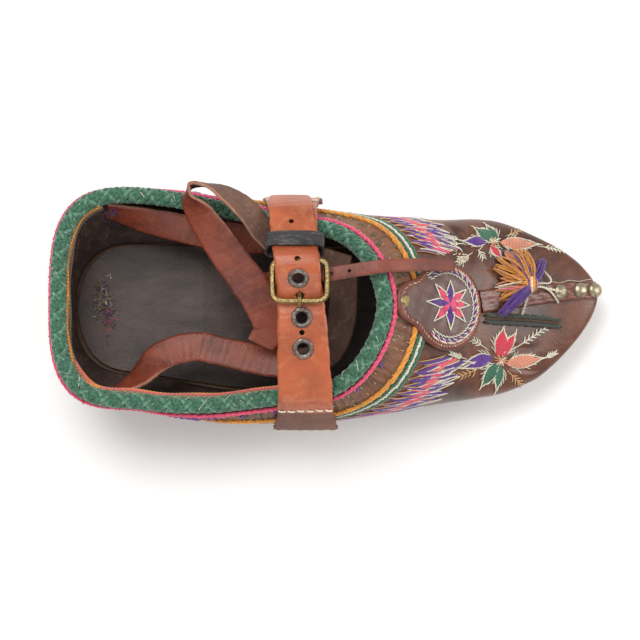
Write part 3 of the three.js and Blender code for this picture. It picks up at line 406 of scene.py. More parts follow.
def pressed(x, y):
    """How deep the troughs go at a plan place."""
    deep = np.zeros(np.broadcast(x, y).shape)
    for along, across, turn, length, breadth, depth in creases:
        dx = x - along * shoe_length
        dy = y - across * ball_width
        c, s = math.cos(math.radians(turn)), math.sin(math.radians(turn))
        run, off = dx * s + dy * c, dx * c - dy * s
        ends = np.clip(1 - (run / (length * ball_width * 1.4)) ** 2, 0, 1) ** 2
        bend = 2.5 * np.sin(run / (length * ball_width) * 2.1 + along * 40)
        deep = deep + depth * ball_width * np.exp(-(((off + bend) / (breadth * ball_width)) ** 2)) * ends
        ridge = np.exp(-(((off + bend - 3.2) / (breadth * ball_width * 1.3)) ** 2))
        deep = deep - 0.35 * depth * ball_width * ridge * ends
    return deep


def on_vamp(x, y, lift=0.0):
    """A point over the vamp at a plan place, lifted off the leather."""
    x, y = np.asarray(x, float), np.asarray(y, float)
    step = 0.5

    def at(px, py):
        return upper_point(*unrolled(px, py))

    normal = np.cross(at(x + step, y) - at(x - step, y), at(x, y + step) - at(x, y - step))
    normal /= np.linalg.norm(normal, axis=-1, keepdims=True)
    return at(x, y) + normal * np.asarray(lift - pressed(x, y))[..., None]


def evenly(points, count, closed=False):
    points = np.asarray(points, float)
    if closed:
        points = np.vstack([points, points[:1]])
    run = np.r_[0, np.cumsum(np.linalg.norm(np.diff(points, axis=0), axis=1))]
    want = np.linspace(0, run[-1], count + 1)
    if closed:
        want = want[:-1]
    return np.stack([np.interp(want, run, points[:, k]) for k in range(points.shape[1])], -1)


def collar_reach(x):
    return table_at(collar_along, collar_line, x / shoe_length)


def rib_ends(heel_ribs, side_ribs, front_ribs):
    """Plan places of each rib's widest point and of the cord over it, round the shoe."""
    angle = quarter * np.arange(heel_ribs + 1) / heel_ribs
    reach = oval_reach(angle, heel_back, half_width(0), heel_round)
    heel = np.stack([-reach * np.cos(angle), reach * np.sin(angle)], -1)
    side_x = throat_start * np.arange(side_ribs + 1) / side_ribs
    side = np.stack([side_x, half_width(side_x)], -1)
    x = np.linspace(throat_start, toe_centre, 120)
    bend = quarter - np.linspace(0, quarter, 120)[1:]
    centre, dx, dy, reach, _ = outline_from(toe_centre + np.cos(bend) + 1e-6, np.sin(bend))
    half = np.vstack([np.stack([x, half_width(x)], -1), np.stack([centre + reach * dx, reach * dy], -1)])
    front = evenly(np.vstack([half, half[-2::-1] * [1, -1]]), front_ribs)
    round_throat = np.linspace(0, math.pi, 240)
    across = half_width(throat_start) * collar_reach(throat_start)
    throat = np.stack(
        [
            throat_start + throat_depth * np.abs(np.sin(round_throat)) ** (2 / throat_round),
            across * np.sign(np.cos(round_throat)) * np.abs(np.cos(round_throat)) ** (2 / throat_round),
        ],
        -1,
    )
    throat = evenly(throat, front_ribs)
    wide = np.vstack([heel[:-1], side[:-1], front, side[-2:0:-1] * [1, -1], heel[:0:-1] * [1, -1]])

    def drawn_in(points):
        return points * np.where(points[:, :1] < 0, collar_reach(points[:, :1]), [1, 1]) * np.where(
            points[:, :1] >= 0, np.stack([np.ones(len(points)), collar_reach(points[:, 0])], -1), 1
        )

    top = np.vstack(
        [
            drawn_in(heel[:-1]),
            drawn_in(side[:-1]),
            throat,
            drawn_in(side[-2:0:-1]) * [1, -1],
            drawn_in(heel[:0:-1]) * [1, -1],
        ]
    )
    return wide, np.stack(unrolled(top[:, 0], top[:, 1] + middle(top[:, 0])), -1)


wide_ends, top_ends = rib_ends(44, 60, 252)
ribs = len(wide_ends)


def on_ribs(share, depth=0.0):
    """Points on every rib; share 1 at the cord, 0 at the widest, -1 at the sole."""
    share = np.asarray(share, float)
    inside = np.clip(share, 0, 1)[..., None]
    over = wide_ends[:, None] + (top_ends - wide_ends)[:, None] * inside
    centre, dx, dy, reach, _ = outline_from(wide_ends[:, 0], wide_ends[:, 1])
    r = reach[:, None] * (1 - np.minimum(share, 0))
    under = np.stack([centre[:, None] + r * dx[:, None], r * dy[:, None]], -1)
    plan = np.where((share > 0)[..., None], over, under)
    return upper_point(plan[..., 0], plan[..., 1], depth)


dense = np.tile(np.linspace(1, -1, 161), (ribs, 1))
dense_points = on_ribs(dense)
dense_run = np.concatenate(
    [np.zeros((ribs, 1)), np.cumsum(np.linalg.norm(np.diff(dense_points, axis=1), axis=2), axis=1)], axis=1
)


def shares_at(away):
    """Share on each rib at distances from the cord's middle, one row of them for each rib."""
    return np.stack([np.interp(away[i], dense_run[i], dense[i]) for i in range(ribs)])


cord_middle = on_ribs(np.ones((ribs, 1)), wall / 2)[:, 0]
cord_run = np.r_[
    0, np.cumsum(np.linalg.norm(np.diff(np.vstack([cord_middle, cord_middle[:1]]), axis=0), axis=1))
]
cord_length = cord_run[-1]
map_steps = 96
map_reach = np.minimum(dense_run[:, -1], 72)
map_away = np.linspace(0, 1, map_steps)[None, :] * map_reach[:, None]
map_points = on_ribs(shares_at(map_away))
map_next = np.roll(map_points, -1, axis=0) - np.roll(map_points, 1, axis=0)
map_down = np.gradient(map_points, axis=1)
map_normals = np.cross(map_next, map_down)
map_normals /= np.maximum(np.linalg.norm(map_normals, axis=-1, keepdims=True), 1e-9)
if map_normals[0, 40, 0] > 0:
    map_normals = -map_normals


def around(run, away, lift=0.0):
    """A point at a distance run along the cord from the middle of the heel, first up the
    inner side, and a distance away from the cord down the leather."""
    run, away = np.broadcast_arrays(np.asarray(run, float) % cord_length, np.asarray(away, float))
    place = np.interp(run, cord_run, np.arange(ribs + 1))
    i = np.floor(place).astype(int) % ribs
    j = (i + 1) % ribs
    f = (place - np.floor(place))[..., None]

    def pick(table):
        def one(k):
            down = np.clip(away / map_reach[k], 0, 1) * (map_steps - 1)
            a = np.minimum(down.astype(int), map_steps - 2)
            g = (down - a)[..., None]
            return table[k, a] * (1 - g) + table[k, a + 1] * g

        return one(i) * (1 - f) + one(j) * f

    point, normal = pick(map_points), pick(map_normals)
    sunk = pressed(point[..., 0], point[..., 1])
    return point + normal * (np.asarray(lift) - sunk)[..., None]


band_widths = 10.5 + 7 * eased((cord_middle[:, 0] - 10) / 85)


def band_at(run):
    """Breadth of the pleated band, from the cord's middle to the orange line."""
    return np.interp(np.asarray(run, float) % cord_length, cord_run, np.r_[band_widths, band_widths[0]])


def pleats(run, away):
    """Height of the little pleats between the cord and the orange line."""
    inside = eased((away - cord_radius) / 2) * eased((band_at(run) - away) / 5)
    fan = np.sin(run * 2.15 + 1.3 * np.sin(run * 0.23) + 0.05 * away * np.sin(run * 0.11))
    fine = np.sin(run * 3.9 + 2 * np.sin(run * 0.31 + away * 0.14))
    fold = 1 - 2 * np.abs(np.sin(run * 1.02 + 0.7 * np.sin(run * 0.29)))
    return inside * (0.24 * fan + 0.14 * fine + 0.34 * fold)


outer_steps, inner_steps = 96, 24
foot_run = dense_run[:, -1]
outer_away = np.linspace(1, 0, outer_steps)[None, :] ** 1.25 * (foot_run[:, None] - 1.85) + 1.85
outer = on_ribs(shares_at(outer_away))
outer_next = np.roll(outer, -1, axis=0) - np.roll(outer, 1, axis=0)
outer_normal = np.cross(outer_next, np.gradient(outer, axis=1))
outer_normal /= np.maximum(np.linalg.norm(outer_normal, axis=-1, keepdims=True), 1e-9)
if outer_normal[0, 40, 0] > 0:
    outer_normal = -outer_normal
above_foot = eased(np.arange(outer_steps) / 10)[None, :]
ripple = pleats(cord_run[:-1, None], outer_away)
wander = (
    0.35 * np.sin(outer[..., 0] * 0.16 + 0.07 * outer[..., 1])
    * np.sin(outer[..., 2] * 0.21 + 0.05 * outer[..., 0])
)
outer = (
    outer
    + outer_normal * ((ripple + 0.5 * wander - pressed(outer[..., 0], outer[..., 1])) * above_foot)[
        ..., None
    ]
)
inner_away = np.linspace(0, 1, inner_steps)[None, :] * (foot_run[:, None] - 1.85) + 1.85
inner = on_ribs(shares_at(inner_away), wall)
upper_rows = np.concatenate([outer, inner], axis=1)
columns = outer_steps + inner_steps
upper_faces = grid_faces(ribs, columns, closed_rows=True, closed_columns=True)

vamp_leather = leather("vamp_leather", "63351f", "26120b", "835640", 0.85, 0.35, 0.22, 0.5, 0.2)
band_leather = leather("band_leather", "7c5038", "42281c", "a08262", 0.75, 0.5, 0.42, 0.7, 0.05)
lining = leather("lining", "42302a", "1e1613", "7d6855", 0.7, 0.5, 0.6, 0.8)

face_column = np.array([f[0] % columns for f in upper_faces])
face_rib = np.array([f[0] // columns for f in upper_faces])
face_away = np.where(
    face_column < outer_steps, outer_away[face_rib, np.minimum(face_column, outer_steps - 1)], 0
)
upper_finish = np.where(
    face_column >= outer_steps - 1, 2, np.where(face_away < band_widths[face_rib], 1, 0)
)
upper = piece(
    "upper_skin",
    upper_rows.reshape(-1, 3),
    upper_faces,
    [vamp_leather, band_leather, lining],
    upper_finish,
)
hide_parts("upper")

# Collar cord and embroidery: twisted wool and silk, laid on the leather and held with
# small stitches. Every line of it is a real tube of yarn that follows the upper.
yarn_colours = {
    "green": "27654a",
    "pale_green": "9fc3a0",
    "pink": "e8486f",
    "orange": "e0921f",
    "cream": "ece0c8",
    "purple": "571f86",
    "peach": "d58a6c",
    "red": "cc2540",
    "deep_green": "1f5f40",
    "tan": "cf9f68",
    "cord_green": "568568",
    "straw": "94763f",
    "black_green": "2c3a30",
    "dry_brown": "5c4026",
}
yarn_names = list(yarn_colours)


def yarn_material(name, colour, turns=2.4, sheen=0.35):
    material, tree, shader = plain_shader(name)
    lay = tree.nodes.new("ShaderNodeTexCoord")
    split = tree.nodes.new("ShaderNodeSeparateXYZ")
    tree.links.new(lay.outputs["UV"], split.inputs[0])
    twist = maths(tree, "ADD", maths(tree, "MULTIPLY", split.outputs["X"], turns), split.outputs["Y"])
    strand = maths(tree, "SINE", maths(tree, "MULTIPLY", twist, 2 * math.pi))
    fibre = node(tree, "ShaderNodeTexNoise", Scale=3200, Detail=2)
    tree.links.new(lay.outputs["Object"], fibre.inputs["Vector"])
    soil = node(tree, "ShaderNodeTexNoise", Scale=160, Detail=4)
    tree.links.new(lay.outputs["Object"], soil.inputs["Vector"])
    # Colour mixes a darker and a paler copy of the yarn by fibre noise and by the twist's sine: the fibres
    # vary in tone, the grooves between the plies are painted shade and their crowns painted highlight.
    shade = ramp(
        tree, maths(tree, "ADD", maths(tree, "MULTIPLY", strand, 0.16), fibre.outputs["Fac"]), 0.15, 0.85
    )
    base = linear(colour)
    dark = (*[c * 0.5 for c in base[:3]], 1)
    pale = (*[min(c * 1.25 + 0.02, 1) for c in base[:3]], 1)
    body = mixed(tree, shade, dark, pale)
    dirt = (*[c * 0.45 + 0.03 for c in base[:3]], 1)
    tree.links.new(
        mixed(tree, maths(tree, "MULTIPLY", ramp(tree, soil.outputs["Fac"], 0.5, 0.75), 0.5), body, dirt),
        shader.inputs["Base Color"],
    )
    lifted = node(tree, "ShaderNodeBump", Strength=0.5, Distance=0.0002)
    tree.links.new(maths(tree, "ADD", strand, fibre.outputs["Fac"]), lifted.inputs["Height"])
    tree.links.new(lifted.outputs["Normal"], shader.inputs["Normal"])
    shader.inputs["Roughness"].default_value = 0.75
    shader.inputs["Sheen Weight"].default_value = sheen
    return material


yarn_materials = [yarn_material("yarn_" + name, colour) for name, colour in yarn_colours.items()]


def skein():
    return {"points": [], "faces": [], "finish": [], "uv": [], "count": 0}


def lay_yarn(store, line, radius, colour, sides=6, flat=1.0, reference=None):
    """A tube of yarn along a line; radius may change along it."""
    line = np.asarray(line, float)
    radius = np.broadcast_to(np.asarray(radius, float), (len(line),))
    ahead = np.gradient(line, axis=0)
    ahead /= np.maximum(np.linalg.norm(ahead, axis=1, keepdims=True), 1e-9)
    if reference is None:
        reference = (0, 0, 1) if np.abs(ahead[:, 2]).mean() < 0.8 else (1, 0, 0)
    side = np.cross(ahead, np.asarray(reference, float))
    side /= np.maximum(np.linalg.norm(side, axis=1, keepdims=True), 1e-9)
    over = np.cross(side, ahead)
    turn = np.linspace(0, 2 * math.pi, sides, endpoint=False)
    ring = (
        line[:, None]
        + side[:, None] * (radius[:, None] * np.cos(turn))[..., None]
        + over[:, None] * (flat * radius[:, None] * np.sin(turn))[..., None]
    )
    n, start = len(line), store["count"]
    r, c = np.meshgrid(np.arange(n - 1), np.arange(sides), indexing="ij")
    r, c = r.ravel(), c.ravel()
    nxt = (c + 1) % sides
    quads = (
        start + np.stack([r * sides + c, r * sides + nxt, (r + 1) * sides + nxt, (r + 1) * sides + c], 1)
    )
    run = np.r_[0, np.cumsum(np.linalg.norm(np.diff(line, axis=0), axis=1))] / max(radius.max() * 6, 1e-6)
    run = run + (start * 0.37) % 1
    low, high = c / sides, (c + 1) / sides
    uv = np.stack(
        [
            np.stack([run[r], low], 1), np.stack([run[r], high], 1), np.stack([run[r + 1], high], 1),
            np.stack([run[r + 1], low], 1),
        ],
        1,
    )
    store["points"].append(ring.reshape(-1, 3))
    store["faces"].append(quads)
    store["uv"].append(uv.reshape(-1, 2))
    store["finish"].append(np.full(len(quads), yarn_names.index(colour)))
    store["count"] += n * sides


def yarn_piece(name, store, materials=None):
    made = piece(
        name,
        np.concatenate(store["points"]),
        np.concatenate(store["faces"]).tolist(),
        materials or yarn_materials,
        np.concatenate(store["finish"]),
    )
    layer = made.data.uv_layers.new(name="lay")
    layer.data.foreach_set("uv", np.concatenate(store["uv"]).ravel().astype(np.float32))
    return made


chance = random.Random(7)

# Collar cord: a plait of green wool laid over the collar's edge and sewn on. Four strands
# wind each way round a dark core, over and under by turns, each of two yarns, and short
# paler fibres have worn out of it.
cord_store = skein()
cord_steps = 750
cord_path = evenly(cord_middle, cord_steps, closed=True)
cord_path = np.vstack([cord_path, cord_path[:2]])
cord_ahead = np.gradient(cord_path, axis=0)
cord_ahead /= np.linalg.norm(cord_ahead, axis=1, keepdims=True)
cord_side = np.cross(cord_ahead, (0, 0, 1))
cord_side /= np.linalg.norm(cord_side, axis=1, keepdims=True)
cord_over = np.cross(cord_side, cord_ahead)
cord_turns = 22
sweep = np.linspace(0, 2 * math.pi, len(cord_path)) * cord_turns


def cord_strand(phase, offset, radius, colour, way=1, start=0, end=None, weave=0.0, sides=6):
    turn = sweep * way + phase
    offset = offset + weave * way * np.cos(4 * sweep)
    line = (
        cord_path + cord_side * (offset * np.cos(turn))[:, None]
        + cord_over * (offset * np.sin(turn))[:, None]
    )
    lay_yarn(cord_store, line[start:end], radius, colour, sides=sides)


lay_yarn(cord_store, cord_path, 2.55, "deep_green", sides=8)
for k in range(4):
    for way in (1, -1):
        for apart, tone in ((-0.24, "green"), (0.24, "cord_green" if k % 2 else "deep_green")):
            cord_strand(2 * math.pi * k / 4 + apart, 2.62, 0.86, tone, way, weave=0.42)
for k in range(520):
    begin = chance.randrange(0, cord_steps - 40)
    colour = chance.choice(
        ["pale_green", "pale_green", "cream", "cord_green", "green", "deep_green", "deep_green"]
    )
    phase = chance.uniform(0, 2 * math.pi)
    way = chance.choice([1, 1, -1])
    reach = begin + chance.randrange(3, 8)
    cord_strand(
        phase, 3.42 + chance.uniform(0, 0.2), chance.uniform(0.1, 0.2), colour, way, begin, reach, 0.2, 4
    )
cord = yarn_piece("green_cord", cord_store)
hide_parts("collar_cord")

# Collar lines: twisted wool and silk couched on the leather outside the cord, pink beside
# it, purple under that at the heel, and orange, green and cream over the band's lower edge.
collar_store = skein()


def collar_run(
    away, lift, radius, colour, spread=0.0, wobble=0.25, phase=0.0, start=0.0, end=None, steps=520
):
    end = cord_length if end is None else end
    run = np.linspace(start, end, steps)
    shift = wobble * np.sin(run * 0.37 + phase) + 0.5 * wobble * np.sin(run * 1.13 + 2 * phase)
    shift = shift + spread * np.sin(run * 2.2 + phase)
    height = lift + 0.6 * spread * np.cos(run * 2.2 + phase)
    height = height + np.maximum(pleats(run, away(run) + shift), 0)
    lay_yarn(collar_store, around(run, away(run) + shift, height), radius, colour)


for phase in (0.0, math.pi):
    collar_run(lambda r: 4.9 + 0 * r, 0.7, 0.72, "pink", 0.5, 0.2, phase)
heel_reach = float(cord_run[:-1][cord_middle[:, 0] > 30].min())
for phase in (0.0, 2.1, 4.2):
    for shade, down in (("purple", 7.0), ("purple", 8.1)):
        collar_run(lambda r: down + 0 * r, 0.8, 0.66, shade, 0.5, 0.3, phase, -heel_reach, heel_reach, 300)
for phase in (0.0, 2.1, 4.2):
    collar_run(lambda r: band_at(r), 0.55, 0.72, "orange", 0.75, 0.12, phase)
for phase in (0.0, math.pi):
    collar_run(lambda r: band_at(r) + 2.6, 0.4, 0.6, "deep_green", 0.45, 0.15, phase)
    collar_run(lambda r: band_at(r) + 5.9, 0.4, 0.62, "green", 0.5, 0.18, phase)
for phase in (0.5, 3.4):
    collar_run(lambda r: band_at(r) + 4.2, 0.45, 0.5, "cream", 0.35, 0.2, phase)


def collar_stitch(
    run_a, away_a, run_b, away_b, colour, radius=0.4, lift=0.35, steps=6, bulge=0.35, store=None
):
    """One stitch on the leather round the collar, lying from one place to another."""
    t = np.linspace(0, 1, steps)
    arch = np.sin(t * math.pi)
    line = around(
        run_a + (run_b - run_a) * t, away_a + (away_b - away_a) * t,
        lift + bulge * arch - 0.25 * (1 - arch) ** 3,
    )
    lay_yarn(collar_store if store is None else store, line, radius * (0.75 + 0.25 * arch), colour, 5)


# Overcast purple stitches beside the pink line, thick at the heel, and green flecks where
# the cord's stitches come through the pleated band
run = 0.0
while run < cord_length:
    at_heel = float(np.interp(run, cord_run[:-1], cord_middle[:, 0]) < 40)
    if at_heel or chance.random() < 0.08:
        collar_stitch(run, 5.4, run + 2.2, 8.6 + chance.uniform(-0.6, 0.8), "purple", 0.62, 0.35)
    run += 1.35 if at_heel else 2.4
for k in range(330):
    run = chance.uniform(0, cord_length)
    width = float(band_at(run))
    away = chance.uniform(6.2, width - 1.2)
    colour = chance.choice(["green", "deep_green", "pale_green", "green", "tan"])
    reach = chance.uniform(0.8, 2.4)
    collar_stitch(run, away, run + chance.uniform(-0.6, 0.6), away + reach, colour, 0.24, 0.3, 4)
for k in range(int(cord_length / 2.6)):
    run = k * 2.6 + chance.uniform(-0.3, 0.3)
    width = float(band_at(run))
    collar_stitch(run, width - 1.6, run + 0.9, width + 1.7, "orange", 0.34, 0.75, 5)
    collar_stitch(run, width + 3.6, run + 0.7, width + 4.9, "cream", 0.3, 0.6, 4)
yarn_piece("collar_yarn", collar_store)

# Flame stitch: nested rows of pointed zigzags outside the lines, the points lying out
# and towards the toe, in purple, pink, cream and tan
flame_store = skein()
flame_rows = [
    ("tan", 1, 0.0, 0.26),
    ("purple", 3, 0.9, 0.36),
    ("cream", 1, 2.6, 0.28),
    ("pink", 3, 3.4, 0.36),
    ("tan", 1, 5.0, 0.26),
    ("cream", 1, 5.8, 0.28),
    ("purple", 3, 6.7, 0.36),
    ("cream", 1, 8.4, 0.3),
]
front_run = cord_length / 2


def flame(way, first, last):
    """Rows of zigzags from one place to another; way is 1 up the inner side."""
    place = first
    while place < last:
        ahead = eased((place - 95) / 45)
        reach = (5.6 + 5.4 * ahead) * chance.uniform(0.8, 1.2)
        lean = (3.8 + 4.4 * ahead) * chance.uniform(0.9, 1.1)
        pitch = 3.4 + 0.2 * ahead
        for colour, threads, out, radius in flame_rows:
            for thread in range(threads):
                low = 7.6 + out * (0.8 + 0.7 * ahead) + thread * 0.62
                for a, da, b, db in (
                    (place, low, place + lean, low + reach),
                    (place + lean, low + reach, place + pitch, low + 0.4),
                ):
                    a, b = a + chance.uniform(-0.3, 0.3), b + chance.uniform(-0.3, 0.3)
                    run_a = a if way > 0 else cord_length - a
                    run_b = b if way > 0 else cord_length - b
                    wide = float(band_at(run_a))
                    shade = colour if chance.random() > 0.07 else chance.choice(["orange", "tan", "cream"])
                    collar_stitch(
                        run_a, wide + da, run_b, wide + db, shade, radius, 0.3, 5, 0.3, flame_store
                    )
        place += pitch


flame(1, 1.5, front_run - 20)
flame(-1, 1.5, front_run - 19)
yarn_piece("flame_stitches", flame_store)

# Flowers and sprigs on the vamp: satin stitch petals in silk, each edged with short white
# feather stitches, and cream sprigs of paired leaf stitches.
flower_store = skein()


def vamp_stitch(a, b, colour, radius=0.36, lift=0.25, steps=6, bulge=0.3, store=None):
    """One stitch over the vamp from one plan place to another, in millimetres."""
    t = np.linspace(0, 1, steps)
    arch = np.sin(t * math.pi)
    line = on_vamp(
        a[0] + (b[0] - a[0]) * t, a[1] + (b[1] - a[1]) * t, lift + bulge * arch - 0.25 * (1 - arch) ** 3
    )
    lay_yarn(flower_store if store is None else store, line, radius * (0.7 + 0.3 * arch), colour, 5)


def petal(base, tip, breadth, colour, threads=7, edge="cream", barbs=True, bend=0.0):
    """Satin stitches that fill a pointed petal, edged with little barbs."""
    bx, by = base
    dx, dy = tip[0] - bx, tip[1] - by
    length = math.hypot(dx, dy)
    ux, uy = dx / length, dy / length

    def at(s, off):
        swell = math.sin(min(max(s, 0), 1) ** 0.8 * math.pi)
        aside = off * breadth / 2 * swell + bend * s * s * length
        return bx + ux * s * length - uy * aside, by + uy * s * length + ux * aside

    for k in range(threads):
        off = 2 * k / (threads - 1) - 1
        steps = 9
        first, last_s = chance.uniform(0, 0.08), 1 - 0.22 * abs(off) - chance.uniform(0, 0.08)
        points = np.array(
            [at(first + (last_s - first) * s / (steps - 1), off * 0.86) for s in range(steps)]
        )
        arch = np.sin(np.linspace(0.08, 0.92, steps) * math.pi)
        line = on_vamp(points[:, 0], points[:, 1], 0.2 + 0.35 * arch * (1 - 0.5 * off * off))
        lay_yarn(flower_store, line, 0.34 * breadth / threads * 2.6 * (0.5 + 0.5 * arch), colour, 5)
    if edge is None:
        return
    for sign in (-1, 1):
        count = max(int(length / 1.7), 4)
        for k in range(count):
            s0 = 0.12 + 0.9 * k / count
            s1 = min(s0 + 1.5 / count, 1.1)
            a = at(s0, sign * 1.15)
            b = at(s1, sign * (1.15 if s1 < 0.95 else 0.4))
            vamp_stitch(a, b, edge, 0.27, 0.3, 5)
            if barbs and chance.random() < 0.75:
                c = at(s0 + 0.9 / count, sign * (1.75 + chance.uniform(0, 0.5)))
                vamp_stitch(at(s0 - 0.3 / count, sign * 1.2), c, edge, 0.22, 0.3, 4)
    end = at(1.0, 0)
    vamp_stitch(end, (end[0] + ux * 2.6, end[1] + uy * 2.6), edge, 0.28, 0.3, 4)


def sprig(base, tip, colour, leaves=5, breadth=2.2):
    """A stem with pairs of leaf stitches."""
    dx, dy = tip[0] - base[0], tip[1] - base[1]
    length = math.hypot(dx, dy)
    ux, uy = dx / length, dy / length
    vamp_stitch(base, tip, colour, 0.26, 0.2, 8, 0.15)
    for k in range(leaves):
        s = 0.3 + 0.7 * k / leaves
        x, y = base[0] + dx * s, base[1] + dy * s
        for sign in (-1, 1):
            w = breadth * (0.75 + 0.4 * chance.random()) * (1 - 0.35 * k / leaves)
            vamp_stitch(
                (x, y), (x + ux * 2 - uy * w * sign, y + uy * 2 + ux * w * sign), colour, 0.3, 0.3, 4
            )


# base x, base y, tip x, tip y, breadth, colour, bend
petals = [
    (165.0, -23.4, 168.4, -11.4, 5.6, "red", 0.1),
    (167.0, -23.2, 171.4, -12.4, 4.2, "red", -0.12),
    (168.6, -26.4, 185.5, -23.6, 5.2, "peach", 0.02),
    (164.4, -26.6, 157.4, -36.0, 4.6, "green", 0.05),
    (166.6, -27.6, 163.0, -37.0, 3.8, "green", 0.15),
    (162.2, -24.2, 150.8, -25.4, 4.2, "purple", 0.06),
    (161.8, -25.8, 148.4, -28.6, 2.6, "purple", 0.05),
    (163.0, 29.6, 155.6, 35.4, 5.4, "green", 0.08),
    (165.0, 30.4, 160.0, 36.2, 3.8, "deep_green", -0.08),
    (166.4, 28.8, 184.0, 28.4, 5.0, "peach", 0.03),
    (160.4, 28.8, 150.0, 28.2, 4.2, "purple", -0.05),
    (162.0, 27.0, 166.4, 21.2, 3.6, "red", 0.05),
]
for x0, y0, x1, y1, breadth, colour, bend in petals:
    petal((x0, y0), (x1, y1), breadth, colour, 7 if breadth > 3 else 5, "cream", True, bend)
# short straight stitches in the hearts of the flowers
for hx, hy in ((166.3, -25.0), (163.4, 29.0)):
    for k in range(16):
        angle = 2 * math.pi * k / 16 + chance.uniform(-0.15, 0.15)
        reach = chance.uniform(2.2, 3.6)
        vamp_stitch(
            (hx, hy), (hx + reach * math.cos(angle), hy + reach * math.sin(angle)),
            chance.choice(["cream", "tan", "peach"]), 0.26, 0.55, 4,
        )
# long feather stitches that carry each petal's line outwards
feathers = [
    (185.4, -23.6, 192.0, -20.6, "cream"),
    (184.0, 28.4, 196.5, 26.4, "cream"),
    (150.6, -25.4, 142.6, -23.2, "cream"),
    (148.2, -28.6, 138.8, -31.6, "cream"),
    (150.0, 28.2, 138.6, 30.8, "cream"),
    (151.0, 27.4, 136.6, 25.6, "cream"),
]
for x0, y0, x1, y1, colour in feathers:
    sprig((x0, y0), (x1, y1), colour, 5, 1.3)
sprigs = [
    (171.4, -20.4, 189.6, -8.0, "cream", 7),
    (169.4, -29.6, 176.6, -35.6, "tan", 4),
    (160.4, -20.8, 148.4, -13.6, "cream", 6),
    (157.2, -28.8, 147.0, -33.0, "tan", 4),
    (169.2, 32.2, 176.4, 35.6, "tan", 3),
    (153.6, 23.4, 146.2, 17.6, "cream", 5),
    (156.0, 25.6, 158.6, 20.6, "cream", 3),
]
for x0, y0, x1, y1, colour, leaves in sprigs:
    sprig((x0, y0), (x1, y1), colour, leaves, 1.9)
for k in range(26):
    x, y = 149.5 + chance.gauss(0, 1.6), -14.4 + chance.gauss(0, 1.5)
    vamp_stitch(
        (x, y), (x + chance.uniform(-1.4, 1.4), y + chance.uniform(-1.4, 1.4)),
        chance.choice(["cream", "tan", "orange"]), 0.28, 0.3, 4,
    )
    x, y = 147.4 + chance.gauss(0, 1.8), 19.4 + chance.gauss(0, 1.8)
    vamp_stitch(
        (x, y), (x + chance.uniform(-1.4, 1.4), y + chance.uniform(-1.4, 1.4)),
        chance.choice(["cream", "tan", "cream"]), 0.26, 0.3, 4,
    )
yarn_piece("flower_stitches", flower_store)

# Medallion: a disc of waxed leather with a lobe to the throat, sewn down round its rim,
# with an eight-petalled star, an open ring of slanting stitches and a nail in the lobe.
medallion_radius, lobe_reach, lobe_spread = 19.6, 7.2, 0.42
medallion_thick, medallion_gap = 2, 0.6
medallion_x, medallion_y = 0.566 * shoe_length, -0.03 * ball_width
slope = on_vamp(medallion_x + 4, medallion_y) - on_vamp(medallion_x - 4, medallion_y)
medallion_slope = float(slope[0] / np.linalg.norm(slope))


def vault_place(x, y, lift):
    """Like on_vamp, but over the troughs instead of down in them."""
    return on_vamp(x, y, lift + pressed(np.asarray(x, float), np.asarray(y, float)))


def medallion_plan(share, angle):
    from_lobe = np.abs(np.abs(angle) - math.pi)
    reach = medallion_radius + lobe_reach * np.exp(-((from_lobe / lobe_spread) ** 4))
    ahead = reach * share * np.cos(angle) * medallion_slope
    return medallion_x + ahead, medallion_y + reach * share * np.sin(angle)


medallion_leather = leather("medallion_leather", "593730", "2f1a16", "8d6c60", 0.7, 0.5, 0.24, 0.35, 0.2)
rim_leather = leather("rim_leather", "6e3526", "3a1a12", "966450", 0.6, 0.4, 0.32, 0.5, 0.12)
disc_steps = 120
disc_angle = np.linspace(-math.pi, math.pi, disc_steps, endpoint=False)
rings = [(0.02, 0.0)] + [(s, 0.0) for s in np.linspace(0.08, 0.82, 22)]
rings += [
    (0.835, 0.0), (0.85, 0.2), (0.87, 0.42), (0.905, 0.55), (0.945, 0.5), (0.975, 0.3), (0.99, 0.0),
    (1.0, -0.5), (1.0, -1.2), (0.99, -1.75),
]
disc = []
for share, over in rings:
    x, y = medallion_plan(share, disc_angle)
    rumple = 0.1 * np.sin(x * 0.9 + y * 0.35) * np.sin(y * 0.7 - x * 0.2) * min(1, 2 * (1 - share))
    notch = -0.16 * (np.sin(disc_angle * 36) > 0.75) * (share > 0.93)
    disc.append(vault_place(x, y, medallion_gap + medallion_thick - 0.25 + over + rumple + notch))
disc_points = np.concatenate(disc)
disc_faces = grid_faces(len(rings), disc_steps, closed_columns=True)
disc_faces.append(tuple(range(disc_steps))[::-1])
disc_finish = [1 if f[0] // disc_steps >= 23 else 0 for f in disc_faces[:-1]] + [0]
medallion = piece(
    "medallion_disc", disc_points, disc_faces, [medallion_leather, rim_leather],
    disc_finish,
)
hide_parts("medallion")

star_store = skein()


def disc_stitch(a, b, colour, radius=0.34, lift=0.2, steps=6, bulge=0.25):
    t = np.linspace(0, 1, steps)
    arch = np.sin(t * math.pi)
    x, y = a[0] + (b[0] - a[0]) * t, a[1] + (b[1] - a[1]) * t
    line = vault_place(x, y, medallion_gap + medallion_thick - 0.3 + lift + bulge * arch)
    lay_yarn(star_store, line, radius * (0.65 + 0.35 * arch), colour, 5)


star_x, star_y = medallion_x + 1.2, medallion_y + 0.9
